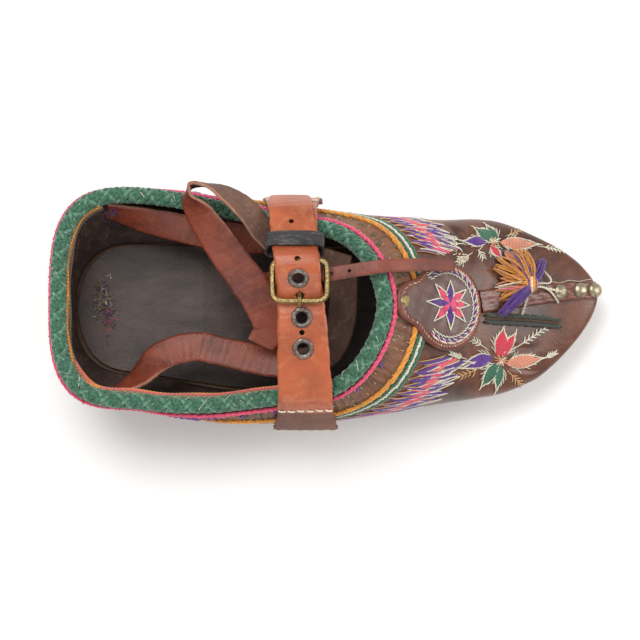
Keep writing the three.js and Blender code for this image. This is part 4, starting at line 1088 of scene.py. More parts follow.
# angle from the toe in degrees, length and colour of each petal
star = [
    (0, 8.6, "pink"),
    (42, 9.6, "pink"),
    (88, 9.6, "purple"),
    (130, 9.8, "pink"),
    (180, 10.2, "purple"),
    (228, 10.4, "pink"),
    (272, 10.8, "purple"),
    (314, 9.8, "pink"),
]
for turn, reach, colour in star:
    c, s = math.cos(math.radians(turn)), math.sin(math.radians(turn))
    for k in range(5):
        off = (k - 2) * 0.62
        swell = [(0.0, 0.1), (0.35, 1.0), (0.78, 0.62)]
        points = [
            (star_x + reach * u * c - off * w * s, star_y + reach * u * s + off * w * c)
            for u, w in swell
        ]
        disc_stitch(points[0], points[1], colour, 0.38)
        disc_stitch(points[1], points[2], colour, 0.36)
    for sign in (-1, 1):
        low = (star_x + reach * 0.42 * c - sign * 2.1 * s, star_y + reach * 0.42 * s + sign * 2.1 * c)
        tip = (star_x + reach * 1.08 * c, star_y + reach * 1.08 * s)
        disc_stitch(low, tip, "cream", 0.33, 0.3)
        turn_in = math.radians(turn + sign * 22.5)
        valley = (star_x + reach * 0.36 * math.cos(turn_in), star_y + reach * 0.36 * math.sin(turn_in))
        disc_stitch(low, valley, "cream", 0.28, 0.3, 4)
ring_reach = 13.6
for k in range(64):
    turn = math.radians(-128 + 256 * k / 63)
    for out, colour, lean in (
        (0.0, "cream", 0.16), (1.3, "purple" if k % 3 else "cream", 0.14),
        (2.5, "cream" if k % 4 else "pink", 0.12),
    ):
        if out == 0 and k % 2:
            continue
        a = (
            star_x - 0.6 + (ring_reach + out) * math.cos(turn) * medallion_slope,
            star_y - 0.6 + (ring_reach + out) * math.sin(turn),
        )
        b = (
            star_x - 0.6 + (ring_reach + out + 0.9) * math.cos(turn + lean) * medallion_slope,
            star_y - 0.6 + (ring_reach + out + 0.9) * math.sin(turn + lean),
        )
        disc_stitch(a, b, colour, 0.3, 0.2, 5)
# long stitches that hold the medallion down round its rim
for k in range(70):
    turn = -math.pi + 2 * math.pi * k / 70
    x0, y0 = medallion_plan(0.885, turn)
    x1, y1 = medallion_plan(0.915, turn + 0.045)
    t = np.linspace(0, 1, 4)
    line = vault_place(
        x0 + (x1 - x0) * t, y0 + (y1 - y0) * t, medallion_gap + medallion_thick + 0.28 + 0 * t
    )
    lay_yarn(star_store, line, 0.2, "tan" if k % 5 else "cream", 5)
yarn_piece("star_stitches", star_store)

# Toe strip: a strip of red-brown leather from the medallion to the tip, greyed by wear in streaks and held
# by three domed nails. Two raised seams bound in dark twisted yarn lie along its outer side.
strip_along = [0.737, 0.802, 0.866, 0.912, 0.96, 0.989]
strip_side = [0.008, 0.038, 0.066, 0.083, 0.095, 0.097]
strip_thick = 1.2


def along_vault(places, sides, steps, aside=0.0):
    along = np.linspace(places[0], places[-1], steps)
    return np.stack([along * toe_tip, table_at(places, sides, along) * ball_width + aside], -1)


def vault_strip(line, half, profile):
    """Points of a strip over the vault; profile holds its shares across and its heights."""
    ahead = np.gradient(line, axis=0)
    ahead /= np.linalg.norm(ahead, axis=1, keepdims=True)
    aside = np.stack([-ahead[:, 1], ahead[:, 0]], -1)
    rows = []
    for share, height in profile:
        plan = line + aside * (half * share)[:, None]
        rows.append(vault_place(plan[:, 0], plan[:, 1], height))
    return np.stack(rows, 1)


strip_leather = leather("strip_leather", "6e3624", "331813", "86705f", 0.7, 0.45, 0.14, 0.4, 0.5, (1, 3, 1))
strip_line = along_vault(strip_along, strip_side, 150)
strip_share = np.linspace(0, 1, 150)
strip_start_half, strip_tip_half = 5.4, 4.1
strip_half = strip_start_half + (strip_tip_half - strip_start_half) * strip_share
across = np.linspace(-1, 1, 17)
strip_profile = (
    [(-1.0, 0.1)]
    + [(s * 0.98, clearance + strip_thick - 0.5 * abs(s) ** 6 + 0.16 * math.cos(s * 8)) for s in across]
    + [(1.0, 0.1)]
)
strip_points = vault_strip(strip_line, strip_half, strip_profile)
strip_rough = 0.12 * np.sin(strip_line[:, 0] * 1.1)[:, None] * np.sin(across * 5 + 1)[None, :]
strip_points[:, 1:-1, 2] += strip_rough
strip = piece(
    "toe_strip_skin",
    strip_points.reshape(-1, 3),
    grid_faces(150, len(strip_profile)),
    [strip_leather],
)
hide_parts("toe_strip")

seam_spacing = 3.2
seam_along, seam_side = [0.745, 0.8, 0.86, 0.915], [-0.063, -0.06, -0.062, -0.07]
seam_materials = [
    leather("black_seam", "2a231d", "120e0c", "8d8468", 0.5, 0.6, 0.32, 0.9),
    leather("green_seam", "4a4a34", "201d14", "a79c78", 0.6, 0.7, 0.4, 0.9),
]
for name, aside, material in (("toe_seam_lower", -seam_spacing, 0), ("toe_seam_upper", 0.0, 1)):
    line = along_vault(seam_along, seam_side, 160, aside)
    share = np.linspace(-1, 1, 160)
    half = 1.2 * (1 - 0.6 * np.abs(share) ** 4)
    profile = [(math.cos(a), clearance - 0.25 + 1.55 * math.sin(a)) for a in np.linspace(math.pi, 0, 9)]
    points = vault_strip(line, half, profile)
    cast = 0.22 * np.sin(line[:, 0] * 3.3)[:, None] * np.sin(np.linspace(0, math.pi, 9))[None, :]
    points[..., 2] += cast
    points[..., 1] += 0.18 * np.sin(line[:, 0] * 1.7 + aside)[:, None]
    seam = piece(
        name + "_ridge", points.reshape(-1, 3), grid_faces(160, 9), [seam_materials[material]],
    )
    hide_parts(name)

seam_store = skein()
for aside, colour in (
    (0.0, "black_green"), (-seam_spacing, "black_green"), (-seam_spacing / 2, "dry_brown")
):
    for phase in (0, math.pi):
        x = np.linspace(0.749, 0.911, 150) * toe_tip
        spin = x * 2.6 + phase
        y = table_at(seam_along, seam_side, x / toe_tip) * ball_width + aside + 0.42 * np.cos(spin)
        lift = (1.5 if colour == "black_green" else 0.5) + 0.3 * np.sin(spin)
        lay_yarn(seam_store, vault_place(x, y, lift), 0.36, colour, 6)
# a fine thread that lies along the strip's inner edge
thread_run = np.linspace(0.0, 1.0, 90)
thread_x = 178 + 30 * thread_run
thread_y = (
    table_at(strip_along, strip_side, thread_x / toe_tip) * ball_width + 4.4
    + 0.4 * np.sin(thread_run * 21)
)
lay_yarn(seam_store, vault_place(thread_x, thread_y, 1.5 + 0.3 * np.sin(thread_run * 33)), 0.14, "cream", 5)
yarn_piece("seam_stitches", seam_store)


def tarnished(name, colour, dark, rough=0.32, metal=0.9, scale=420):
    """Old metal: brighter metal and darker tarnish in random patches, fine scratches."""
    material, tree, shader = plain_shader(name)
    place = tree.nodes.new("ShaderNodeTexCoord")
    spots = node(tree, "ShaderNodeTexNoise", Scale=scale, Detail=6, Roughness=0.7)
    scratch = node(tree, "ShaderNodeTexNoise", Scale=2600, Detail=3)
    for each in (spots, scratch):
        tree.links.new(place.outputs["Object"], each.inputs["Vector"])
    share = ramp(tree, spots.outputs["Fac"], 0.42, 0.68)
    tree.links.new(mixed(tree, share, linear(colour), linear(dark)), shader.inputs["Base Color"])
    tree.links.new(
        maths(tree, "ADD", maths(tree, "MULTIPLY", share, 0.35), rough), shader.inputs["Roughness"]
    )
    shader.inputs["Metallic"].default_value = metal
    lifted = node(tree, "ShaderNodeBump", Strength=0.3, Distance=0.0002)
    tree.links.new(
        maths(tree, "ADD", spots.outputs["Fac"], scratch.outputs["Fac"]), lifted.inputs["Height"]
    )
    tree.links.new(lifted.outputs["Normal"], shader.inputs["Normal"])
    return material


old_brass = tarnished("old_brass", "b3a78c", "5c5140", 0.24)
rivet_brass = tarnished("rivet_brass", "a89468", "5a4a34", 0.4, 0.8)


def dome(name, replaced, x, y, over, radius, height, material):
    """A domed nail head with a rolled rim and a small flat where it was struck."""
    seat = vault_place(np.array(x), np.array(y), over)
    normal = vault_place(np.array(x), np.array(y), over + 1) - seat
    normal /= np.linalg.norm(normal)
    side = np.cross(normal, (0, 1, 0))
    side /= np.linalg.norm(side)
    other = np.cross(normal, side)
    outline = [(1.0, -0.25), (1.04, -0.02), (1.02, 0.12), (0.95, 0.2)]
    outline += (
        [(math.cos(a), 0.12 + 0.86 * math.sin(a)) for a in np.linspace(0.35, 1.5, 9)] + [(0.0, 0.985)]
    )
    turn = np.linspace(0, 2 * math.pi, 36, endpoint=False)
    points = []
    for out, up in outline:
        wave = 1 + 0.015 * np.sin(3 * turn + x)
        r = radius * max(out, 0.002) * wave
        points.append(
            seat + side * (r * np.cos(turn))[:, None] + other * (r * np.sin(turn))[:, None]
            + normal * height * up
        )
    faces = grid_faces(len(outline), 36, closed_columns=True)
    made = piece(name, np.concatenate(points), faces, [material])
    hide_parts(replaced)
    return made


nail_places, nail_radius, nail_height = [0.911, 0.956, 0.987], 3.3, 2.0
for k, along in enumerate(nail_places):
    y = float(table_at(strip_along, strip_side, along)) * ball_width
    dome(
        f"nail_{k + 1}", f"toe_stud_{k + 1}", along * toe_tip, y, strip_thick + 0.55, nail_radius,
        nail_height, old_brass,
    )
rivet_x, rivet_y = medallion_plan(0.86, np.array(math.pi))
dome(
    "lobe_nail", "medallion_rivet", float(rivet_x), float(rivet_y), medallion_thick + medallion_gap + 0.2,
    2.6, 1.2, rivet_brass,
)

# Tassel: a knot of silk tied in white string, with locks of orange, pink and purple yarn
# combed out over the vamp. The string holds it to the toe strip.
tassel_store = skein()
knot_x, knot_y, knot_radius, lock_radius = 0.84 * toe_tip, 0.105 * ball_width, 3.5, 1.7
tassel_lift = strip_thick + 2 * clearance + knot_radius
locks = [
    (0.767, 0.195, 4, "orange", 15),
    (0.776, 0.245, 5, "orange", 16),
    (0.793, 0.285, 5, "peach", 14),
    (0.811, 0.3, 5, "orange", 15),
    (0.805, 0.29, 6.5, "purple", 9),
    (0.831, 0.295, 5, "orange", 14),
    (0.779, 0.14, 4, "orange", 13),
    (0.768, 0.085, 4, "peach", 12),
    (0.774, -0.06, 5.5, "purple", 24),
    (0.787, -0.02, 6, "purple", 24),
    (0.776, 0.02, 4.4, "orange", 10),
    (0.874, 0.25, 4, "purple", 22),
    (0.8625, 0.2, 3, "purple", 12),
]
for along, side, arch, colour, strands in locks:
    end_x, end_y = along * toe_tip, side * ball_width
    for k in range(strands):
        angle, spread = chance.uniform(0, 2 * math.pi), math.sqrt(chance.random())
        out_a, up_a = spread * math.cos(angle), spread * math.sin(angle)
        t = np.linspace(0.0, chance.uniform(0.88, 1.05), 12)
        x = knot_x + (end_x - knot_x) * t
        y = knot_y + (end_y - knot_y) * t
        swell = 0.45 + 1.15 * np.sin(np.pi * np.minimum(t * 0.8 + 0.1, 1))
        run = math.hypot(end_x - knot_x, end_y - knot_y)
        wave = 0.35 * np.sin(t * chance.uniform(5, 9) + chance.uniform(0, 6)) * t
        x = x - (end_y - knot_y) / run * (out_a * lock_radius * swell + wave)
        y = y + (end_x - knot_x) / run * (out_a * lock_radius * swell + wave)
        rest = lock_radius + 2 * clearance + (1.6 if side < 0 else 0)
        base = tassel_lift * (1 - t) + rest * t
        lift = base + (arch - lock_radius) * 2 * t * (1 - t) + up_a * lock_radius * swell * 0.85
        tone = colour
        if colour == "orange" and chance.random() < 0.16:
            tone = "peach"
        if colour == "peach" and chance.random() < 0.4:
            tone = chance.choice(["pink", "orange", "cream"])
        width = 0.36 * (1 - 0.35 * t)
        lay_yarn(tassel_store, vault_place(x, y, np.maximum(lift, 0.6)), width, tone, 5)
# turns of yarn round the knot
for k in range(9):
    turn = np.linspace(0, 2 * math.pi, 24)
    tilt = k / 8 - 0.5
    r = knot_radius * 0.98 * math.sqrt(max(1 - tilt * tilt * 2.6, 0.1))
    seat = vault_place(np.array(knot_x + tilt * 4.4), np.array(knot_y + tilt * 1.2), tassel_lift - 0.3)
    line = seat + np.stack([0.6 * np.sin(turn) * tilt, r * np.cos(turn), r * 0.9 * np.sin(turn)], -1)
    lay_yarn(tassel_store, line, 0.62, ("orange", "orange", "purple", "orange", "cream")[k % 5], 6)
# white string that ties the knot, its ends curling towards the toe and down
strings = [
    [
        (177.4, 7.6, 5.4), (181.0, 9.6, 3.4), (185.0, 10.6, 2.6), (188.4, 9.8, 2.2), (189.6, 12.2, 2.4),
        (187.2, 14.4, 2.0), (185.6, 16.6, 1.8),
    ],
    [(177.8, 6.6, 5.2), (182.6, 8.8, 3.2), (187.2, 7.8, 3.2), (190.4, 5.0, 2.6), (193.2, 1.4, 1.2)],
    [(187.2, 8.0, 3.2), (190.6, 7.2, 3.0), (193.6, 6.6, 3.6)],
    [(177.2, 6.0, 4.8), (177.0, 1.8, 3.0), (176.2, -2.6, 1.6), (175.4, -5.2, 1.0)],
]
for k, places in enumerate(strings):
    rows = np.array(places, float)
    t = np.linspace(0, len(rows) - 1, 44)
    smooth = [np.interp(t, np.arange(len(rows)), rows[:, c]) for c in range(3)]
    for c in range(3):
        smooth[c] = np.convolve(np.pad(smooth[c], 5, mode="edge"), np.ones(11) / 11, mode="valid")
    for phase in (0, math.pi):
        spin = t * 9 + phase
        line = vault_place(
            smooth[0] + 0.26 * np.cos(spin), smooth[1] + 0.26 * np.sin(spin),
            smooth[2] + 0.24 * np.cos(spin),
        )
        lay_yarn(tassel_store, line, 0.34 * (1 - 0.3 * t / t[-1]), "cream", 6)
tassel = yarn_piece("yarn_tassel", tassel_store)
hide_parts("tassel")

# Instep strap: tan harness leather in two halves, sewn to the wall on each side. The outer
# half carries the eyelets and runs through the buckle and keeper; edges are rubbed dark.


def strap_frames(rows, steps, across=None):
    """Frames along a strap; rows hold along, side, up, lean and width share."""
    rows = np.asarray(rows, float)
    sole_top = heel_lift + outsole_thick
    knots = np.stack(
        [rows[:, 0] * shoe_length, rows[:, 1] * ball_width, sole_top + rows[:, 2] * collar_height], -1
    )
    gaps = np.linalg.norm(np.diff(knots, axis=0), axis=1) ** 0.5
    first, last_knot = 2 * knots[0] - knots[1], 2 * knots[-1] - knots[-2]
    padded = np.vstack([first, knots, last_knot])
    spans = np.r_[gaps[0], gaps, gaps[-1]]
    place = np.linspace(0, len(knots) - 1, steps)
    k = np.minimum(place.astype(int), len(knots) - 2)
    w = place - k
    p0, p1, p2, p3 = padded[k], padded[k + 1], padded[k + 2], padded[k + 3]
    d0, d1, d2 = spans[k][:, None], spans[k + 1][:, None], spans[k + 2][:, None]
    m1 = ((p1 - p0) / d0 - (p2 - p0) / (d0 + d1) + (p2 - p1) / d1) * d1
    m2 = ((p2 - p1) / d1 - (p3 - p1) / (d1 + d2) + (p3 - p2) / d2) * d1
    s = w[:, None]
    centre = (2 * s**3 - 3 * s**2 + 1) * p1 + (s**3 - 2 * s**2 + s) * m1
    centre = centre + (3 * s**2 - 2 * s**3) * p2 + (s**3 - s**2) * m2
    ahead = np.gradient(centre, axis=0)
    ahead /= np.linalg.norm(ahead, axis=1, keepdims=True)
    lean = np.radians(np.interp(place, np.arange(len(rows)), rows[:, 3]))
    wide = np.interp(place, np.arange(len(rows)), rows[:, 4])
    level = np.cross(ahead, (0, 0, 1)) if across is None else np.tile(np.asarray(across, float), (steps, 1))
    level /= np.maximum(np.linalg.norm(level, axis=1, keepdims=True), 1e-9)
    width = level * np.cos(lean)[:, None] + np.array([0, 0, 1.0]) * np.sin(lean)[:, None]
    width -= ahead * np.sum(width * ahead, axis=1, keepdims=True)
    width /= np.linalg.norm(width, axis=1, keepdims=True)
    face = np.cross(width, ahead)
    run = np.r_[0, np.cumsum(np.linalg.norm(np.diff(centre, axis=0), axis=1))]
    return {"centre": centre, "width": width, "face": face, "wide": wide, "run": run}


def strap_points(frames, full, thick, columns=15, crown=0.12, wave=0.0, seed=0.0, edge=0.18):
    """Rings of a strap: rounded edges, a slight crown and a wandering width."""
    share = np.linspace(-1, 1, columns)
    half = full * frames["wide"] / 2
    half = (
        half
        * (1 + 0.012 * np.sin(frames["run"] * 0.5 + seed) + 0.008 * np.sin(frames["run"] * 1.3 + 2 * seed))
    )
    rows = []
    for sign in (1, -1):
        for s in share * sign:
            up = (
                sign * (thick / 2) * (1 - edge * abs(s) ** 10)
                + crown * (1 - s * s) * (1 if sign > 0 else 0.4)
            )
            ripple = (
                wave * np.sin(frames["run"] * 1.9 + 1.4 * s + seed) * np.sin(frames["run"] * 0.33 + seed)
            )
            ripple = ripple + 0.5 * wave * np.sin(frames["run"] * 4.3 - 2 * s) * np.sin(frames["run"] * 0.7)
            out = s * (1 - 0.012 * (abs(s) > 0.99))
            rows.append(
                frames["centre"]
                + frames["width"] * (half * out)[:, None]
                + frames["face"] * (up + ripple)[:, None]
            )
    return np.stack(rows, 1)


def face_outwards(mesh):
    work = bmesh.new()
    work.from_mesh(mesh)
    bmesh.ops.recalc_face_normals(work, faces=work.faces)
    work.to_mesh(mesh)
    work.free()


grain_side, flesh_side, raw_edge = 0, 1, 2


def strap_piece(
    name, frames, full, thick, materials, replaced, columns=15, crown=0.12, wave=0.0, seed=0.0,
    bores=(), turned_and_shade_span=(0, 0),
):
    """A strap with a grain side, a flesh side and raw edges; bores are round holes."""
    points = strap_points(frames, full, thick, columns, crown, wave, seed)
    steps = len(points)
    faces = grid_faces(steps, 2 * columns, closed_columns=True)
    column = np.array([f[0] % (2 * columns) for f in faces])
    finish = np.where(column < columns - 1, grain_side, flesh_side)
    finish = np.where((column == columns - 1) | (column == 2 * columns - 1), raw_edge, finish)
    share = np.array([f[0] // (2 * columns) for f in faces]) / steps
    # Grain faces in this span take the flesh leather: the ankle thongs' turned-over parts, and painted
    # shade on the billet's foot below its stitches.
    finish = np.where((share >= turned_and_shade_span[0]) & (share < turned_and_shade_span[1]) & (finish == grain_side), flesh_side, finish)
    faces += [tuple(range(2 * columns)), tuple(range((steps - 1) * 2 * columns, steps * 2 * columns))[::-1]]
    finish = np.r_[finish, raw_edge, raw_edge]
    made = piece(name, points.reshape(-1, 3), faces, materials, finish)
    face_outwards(made.data)
    for place, direction, radius in bores:
        turn = np.linspace(0, 2 * math.pi, 28, endpoint=False)
        side = np.cross(direction, (1, 0, 0))
        side /= np.linalg.norm(side)
        other = np.cross(direction, side)
        ring = side * (radius * np.cos(turn))[:, None] + other * (radius * np.sin(turn))[:, None]
        plug_points = np.concatenate([place + direction * 4 + ring, place - direction * 4 + ring])
        plug_mesh = bpy.data.meshes.new("bore")
        plug_faces = grid_faces(2, 28, closed_columns=True) + [tuple(range(28))[::-1], tuple(range(28, 56))]
        plug_mesh.from_pydata((plug_points * mm).tolist(), [], plug_faces)
        plug_mesh.materials.append(materials[raw_edge])
        face_outwards(plug_mesh)
        plug = bpy.data.objects.new("bore", plug_mesh)
        bpy.context.collection.objects.link(plug)
        cut = made.modifiers.new("bore", "BOOLEAN")
        cut.object = plug
        cut.operation = "DIFFERENCE"
        cut.solver = "EXACT"
        bpy.context.view_layer.objects.active = made
        made.select_set(True)
        bpy.ops.object.modifier_apply(modifier="bore")
        made.select_set(False)
        bpy.data.objects.remove(plug, do_unlink=True)
    if replaced:
        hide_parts(replaced)
    return made


strap_top = leather("strap_leather", "b3582e", "7a351a", "d48e60", 0.6, 0.35, 0.28, 0.5, 0.2, (1, 1, 1))
strap_flesh = leather("strap_flesh", "6f4230", "42241a", "9c7258", 0.6, 0.5, 0.5, 0.9)
strap_edge = leather("strap_edge", "6f3b24", "3a1f14", "a06c4a", 0.6, 0.4, 0.45, 0.6)
strap_materials = [strap_top, strap_flesh, strap_edge]
billet_rows = [
    (0.316, -0.662, 0.43, 0, 1.18), (0.316, -0.664, 0.56, 0, 1.16), (0.316, -0.644, 0.73, 0, 1.1),
    (0.316, -0.612, 0.89, 0, 1.02), (0.316, -0.584, 1.02, 0, 1), (0.316, -0.55, 1.125, 0, 1),
    (0.316, -0.5, 1.165, 0, 0.98), (0.314, -0.41, 1.225, 0, 0.96), (0.312, -0.25, 1.31, 0, 0.92),
    (0.31, -0.13, 1.345, 0, 0.88), (0.308, -0.05, 1.355, 0, 0.85), (0.305, 0.04, 1.43, 0, 0.81),
    (0.303, 0.11, 1.515, 0, 0.81), (0.3, 0.18, 1.515, 0, 0.81), (0.297, 0.25, 1.405, 0, 0.81),
    (0.294, 0.33, 1.325, 0, 0.81), (0.291, 0.41, 1.235, 0, 0.81), (0.289, 0.465, 1.155, 0, 0.81),
    (0.288, 0.51, 1.02, 0, 0.8), (0.287, 0.545, 0.87, 0, 0.72),
]
inner_rows = [
    (0.292, 0.557, 0.43, 0, 1.12), (0.292, 0.556, 0.56, 0, 1.1), (0.292, 0.538, 0.72, 0, 1.02),
    (0.292, 0.508, 0.88, 0, 0.94), (0.293, 0.48, 1.01, 0, 0.9), (0.294, 0.445, 1.1, 0, 0.88),
    (0.295, 0.39, 1.165, 0, 0.86), (0.297, 0.31, 1.255, 0, 0.84), (0.299, 0.25, 1.31, 0, 0.82),
    (0.301, 0.2, 1.35, 0, 0.82), (0.303, 0.165, 1.365, 0, 0.82), (0.304, 0.137, 1.39, 0, 0.78),
    (0.304, 0.128, 1.44, 0, 0.76),
]
strap_thick, strap_width = 2.2, 24.5
billet_steps, inner_steps = 260, 160
billet_frames = strap_frames(billet_rows, billet_steps, (-1, 0, 0))
if billet_frames["face"][billet_steps // 2, 2] < 0:
    billet_frames["face"] *= -1
inner_frames = strap_frames(inner_rows, inner_steps, (-1, 0, 0))
if inner_frames["face"][110, 2] < 0:
    inner_frames["face"] *= -1


def strap_place(frames, side, off=0.0):
    i = int(
        np.argmin(np.abs(frames["centre"][:, 1] - side * ball_width) + 1000 * (frames["centre"][:, 2] < 40))
    )
    place = frames["centre"][i] + frames["width"][i] * off
    return place, frames["face"][i], i


eyelet_bore, punch_bore, prong_bore = 3.4, 1.15, 1.75
eyelet_sides = [-0.285, -0.128, 0.076]
bores = []
for side in eyelet_sides:
    place, direction, i = strap_place(billet_frames, side)
    bores.append((place, direction, eyelet_bore))
for side, off in ((-0.205, 0.3), (0.165, -0.4), (0.375, 0.3)):
    place, direction, i = strap_place(billet_frames, side, off)
    bores.append((place, direction, punch_bore))
slot_place, slot_direction, i = strap_place(billet_frames, -0.012)
bores.append((slot_place, slot_direction, prong_bore))
billet_stitch_side, inner_stitch_side = -0.59, 0.52
billet_foot = strap_place(billet_frames, billet_stitch_side)[2]
# The billet's grain side below its stitches takes the darker flesh leather: painted shade on the strap's
# foot down the wall.
strap_piece(
    "billet", billet_frames, strap_width, strap_thick, strap_materials, "strap_billet",
    15, 0.25, 0.05, 1.0, bores, (0, (billet_foot - 3) / billet_steps),
)
strap_piece(
    "buckle_strap", inner_frames, strap_width, strap_thick, strap_materials, "strap_inner",
    13, 0.2, 0.05, 4.0,
)

# Strap stitches: waxed cream thread that sews each half of the strap to the wall, in a row
# across its foot and another lower down.
strap_store = skein()


def strap_stitch(frames, i, j, off_i, off_j, radius, colour, thick=strap_thick):
    a = frames["centre"][i] + frames["width"][i] * off_i
    b = frames["centre"][j] + frames["width"][j] * off_j
    t = np.linspace(0, 1, 7)[:, None]
    lift = thick / 2 + 0.15 + 0.4 * np.sin(t * math.pi)
    line = a + (b - a) * t + frames["face"][i] * lift
    lay_yarn(strap_store, line, radius, colour, 6)


for frames, side in ((billet_frames, billet_stitch_side), (inner_frames, inner_stitch_side)):
    foot = int(
        np.argmin(np.abs(frames["centre"][:, 1] - side * ball_width) + 1000 * (frames["centre"][:, 2] < 48))
    )
    for row, slant in ((foot, 1), (8, 0)):
        width = strap_width * frames["wide"][row]
        for k in range(6):
            off = width * (k / 5 - 0.5) * 0.84
            i = row + slant * (5 - k) // 2
            strap_stitch(frames, i, i + slant, off - 1.45, off + 1.45, 0.42, "cream")
yarn_piece("strap_stitches", strap_store)

# Eyelets: three rolled rings of grey metal, clenched in the billet's bores.
eyelet_metal = tarnished("eyelet_metal", "857a73", "3b322d", 0.32, 0.85, 700)
for k, side in enumerate(eyelet_sides):
    place, direction, i = strap_place(billet_frames, side)
    cross = np.cross(direction, (1, 0, 0))
    cross /= np.linalg.norm(cross)
    other = np.cross(direction, cross)
    half = strap_thick / 2
    outline = [
        (2.4, -half), (2.9, -half - 0.1), (3.1, -half), (3.1, half + 0.1), (4.2, half + 0.2),
        (4.62, half + 0.35),
    ]
    outline += [
        (3.6 + 1.05 * math.cos(a), half + 0.35 + 0.85 * math.sin(a)) for a in np.linspace(0.1, 2.7, 9)
    ]
    outline += [(2.45, half + 0.4), (2.4, half)]
    turn = np.linspace(0, 2 * math.pi, 44, endpoint=False)
    points = []
    for r, up in outline:
        wave = r * (1 + 0.012 * np.sin(5 * turn + k))
        points.append(
            place + cross * (wave * np.cos(turn))[:, None] + other * (wave * np.sin(turn))[:, None]
            + direction * up
        )
    ring = piece(
        f"eyelet_ring_{k + 1}", np.concatenate(points), grid_faces(len(outline), 44, True, True),
        [eyelet_metal],
    )
    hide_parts(f"eyelet_{k + 1}")

# Buckle and keeper: a worn brass wire frame with a prong wrapped round its hidden bar, held
# in the turn of the inner strap, and a loop of blackened leather behind it.
buckle_brass = tarnished("buckle_brass", "a08a5c", "4c3f28", 0.28, 0.9, 900)
for name in ("buckle_frame", "buckle_prong"):
    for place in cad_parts[name].material_slots:
        place.material = buckle_brass

keeper_leather = leather("keeper_leather", "2c2a2a", "121010", "8b8580", 0.9, 0.9, 0.4, 1.0, 0.0, (1, 5, 1))
keeper_centre = np.array(
    [0.297 * shoe_length, 0.256 * ball_width, heel_lift + outsole_thick + 1.347 * collar_height]
)
keeper_tilt = 0.47
keeper_run = np.array([0, math.cos(keeper_tilt), -math.sin(keeper_tilt)])
keeper_over = np.array([0, math.sin(keeper_tilt), math.cos(keeper_tilt)])
keeper_rows = []
for a in np.linspace(0, 2 * math.pi, 96, endpoint=False):
    cx = math.copysign(abs(math.cos(a)) ** 0.4, math.cos(a))
    cz = math.copysign(abs(math.sin(a)) ** 0.4, math.sin(a))
    ring = []
    for out, side in (
        (0.1, -0.96), (0, 0), (0.1, 0.96), (0.9, 1), (1.25, 0.9), (1.32, 0.45), (1.28, 0), (1.34, -0.5),
        (1.25, -0.9), (0.9, -1),
    ):
        rub = 0.12 * math.sin(9 * a + 3 * side) * (out > 1)
        ring.append(
            keeper_centre
            + np.array([1, 0, 0]) * (11.7 + out + rub) * cx
            + keeper_over * (4.3 + out + rub) * cz
            + keeper_run * side * 3.75 * (1 + 0.04 * math.sin(5 * a))
        )
    keeper_rows.append(ring)
keeper = piece(
    "keeper_loop", np.array(keeper_rows).reshape(-1, 3), grid_faces(96, 10, True, True), [keeper_leather],
)
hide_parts("keeper")

# Ankle strap: a long thin thong of red-brown leather, lying slack in the shoe in loops,
# its flesh side grey where it turns over. It is sewn inside the heel on both sides.
ankle_top = leather("ankle_leather", "7e3620", "43190e", "a85f42", 0.8, 0.35, 0.36, 0.9, 0.1, (1, 1, 1))
ankle_flesh = leather("ankle_flesh", "6b4a3a", "3c2a22", "98806c", 0.7, 0.6, 0.66, 1.0)
ankle_edge = leather("ankle_edge", "a2705a", "5c3626", "d0ad98", 0.5, 0.5, 0.6, 0.8)
ankle_materials = [ankle_top, ankle_flesh, ankle_edge]
ankle_straps = {
    "ankle_strap_inner": (14, 140, [
        (-0.045, 0.488, 0.75, -75, 1), (0.036, 0.428, 0.714, -45, 1), (0.1255, 0.375, 0.69, -25, 1),
        (0.194, 0.345, 0.714, -20, 1), (0.267, 0.327, 0.738, -15, 1), (0.33, 0.31, 0.738, -10, 0.9),
    ]),
    "ankle_strap_outer": (14, 220, [
        (-0.028, -0.488, 0.738, 75, 1.15), (0.012, -0.417, 0.7, 55, 1.1), (0.057, -0.29, 0.65, 20, 1),
        (0.117, -0.24, 0.62, 8, 0.95), (0.17, -0.27, 0.62, 8, 0.95), (0.251, -0.32, 0.62, 10, 1),
        (0.316, -0.327, 0.643, 10, 1), (0.356, -0.27, 0.667, 0, 0.95), (0.38, -0.12, 0.714, -10, 0.9),
        (0.385, 0.05, 0.8, -10, 0.9), (0.385, 0.15, 0.86, -10, 0.8),
    ]),
    "ankle_strap_loop": (14, 300, [
        (0.395, 0.17, 0.95, -10, 0.7), (0.36, 0.2, 0.96, -15, 0.7), (0.32, 0.23, 0.95, -15, 0.75),
        (0.28, 0.26, 0.97, -20, 0.8), (0.245, 0.325, 1.11, -30, 0.82), (0.215, 0.44, 1.2, -35, 0.9),
        (0.175, 0.53, 1.26, -55, 0.95), (0.14, 0.575, 1.28, -80, 0.95), (0.112, 0.575, 1.26, -90, 0.95),
        (0.107, 0.53, 1.25, -80, 1), (0.13, 0.42, 1.15, -40, 1.05), (0.175, 0.23, 1.05, -15, 1.1),
        (0.218, 0.06, 1, -8, 1.15), (0.242, -0.06, 0.93, 0, 1.1), (0.25, -0.16, 0.86, 10, 1),
        (0.235, -0.24, 0.8, 15, 0.9),
    ]),
    "ankle_strap_tip": (6.2, 140, [
        (0.185, 0.09, 0.7, 0, 1), (0.22, 0.1, 0.78, 0, 1), (0.25, 0.105, 0.9, 0, 1), (
            0.28, 0.105, 1.08, 0, 1
        ),
        (0.315, 0.1, 1.24, 0, 1), (0.36, 0.105, 1.29, 0, 0.98), (0.42, 0.13, 1.32, 0, 0.96),
        (0.46, 0.145, 1.335, 0, 0.94), (0.52, 0.165, 1.13, 0, 0.9), (0.583, 0.18, 0.86, 0, 0.82),
    ]),
}
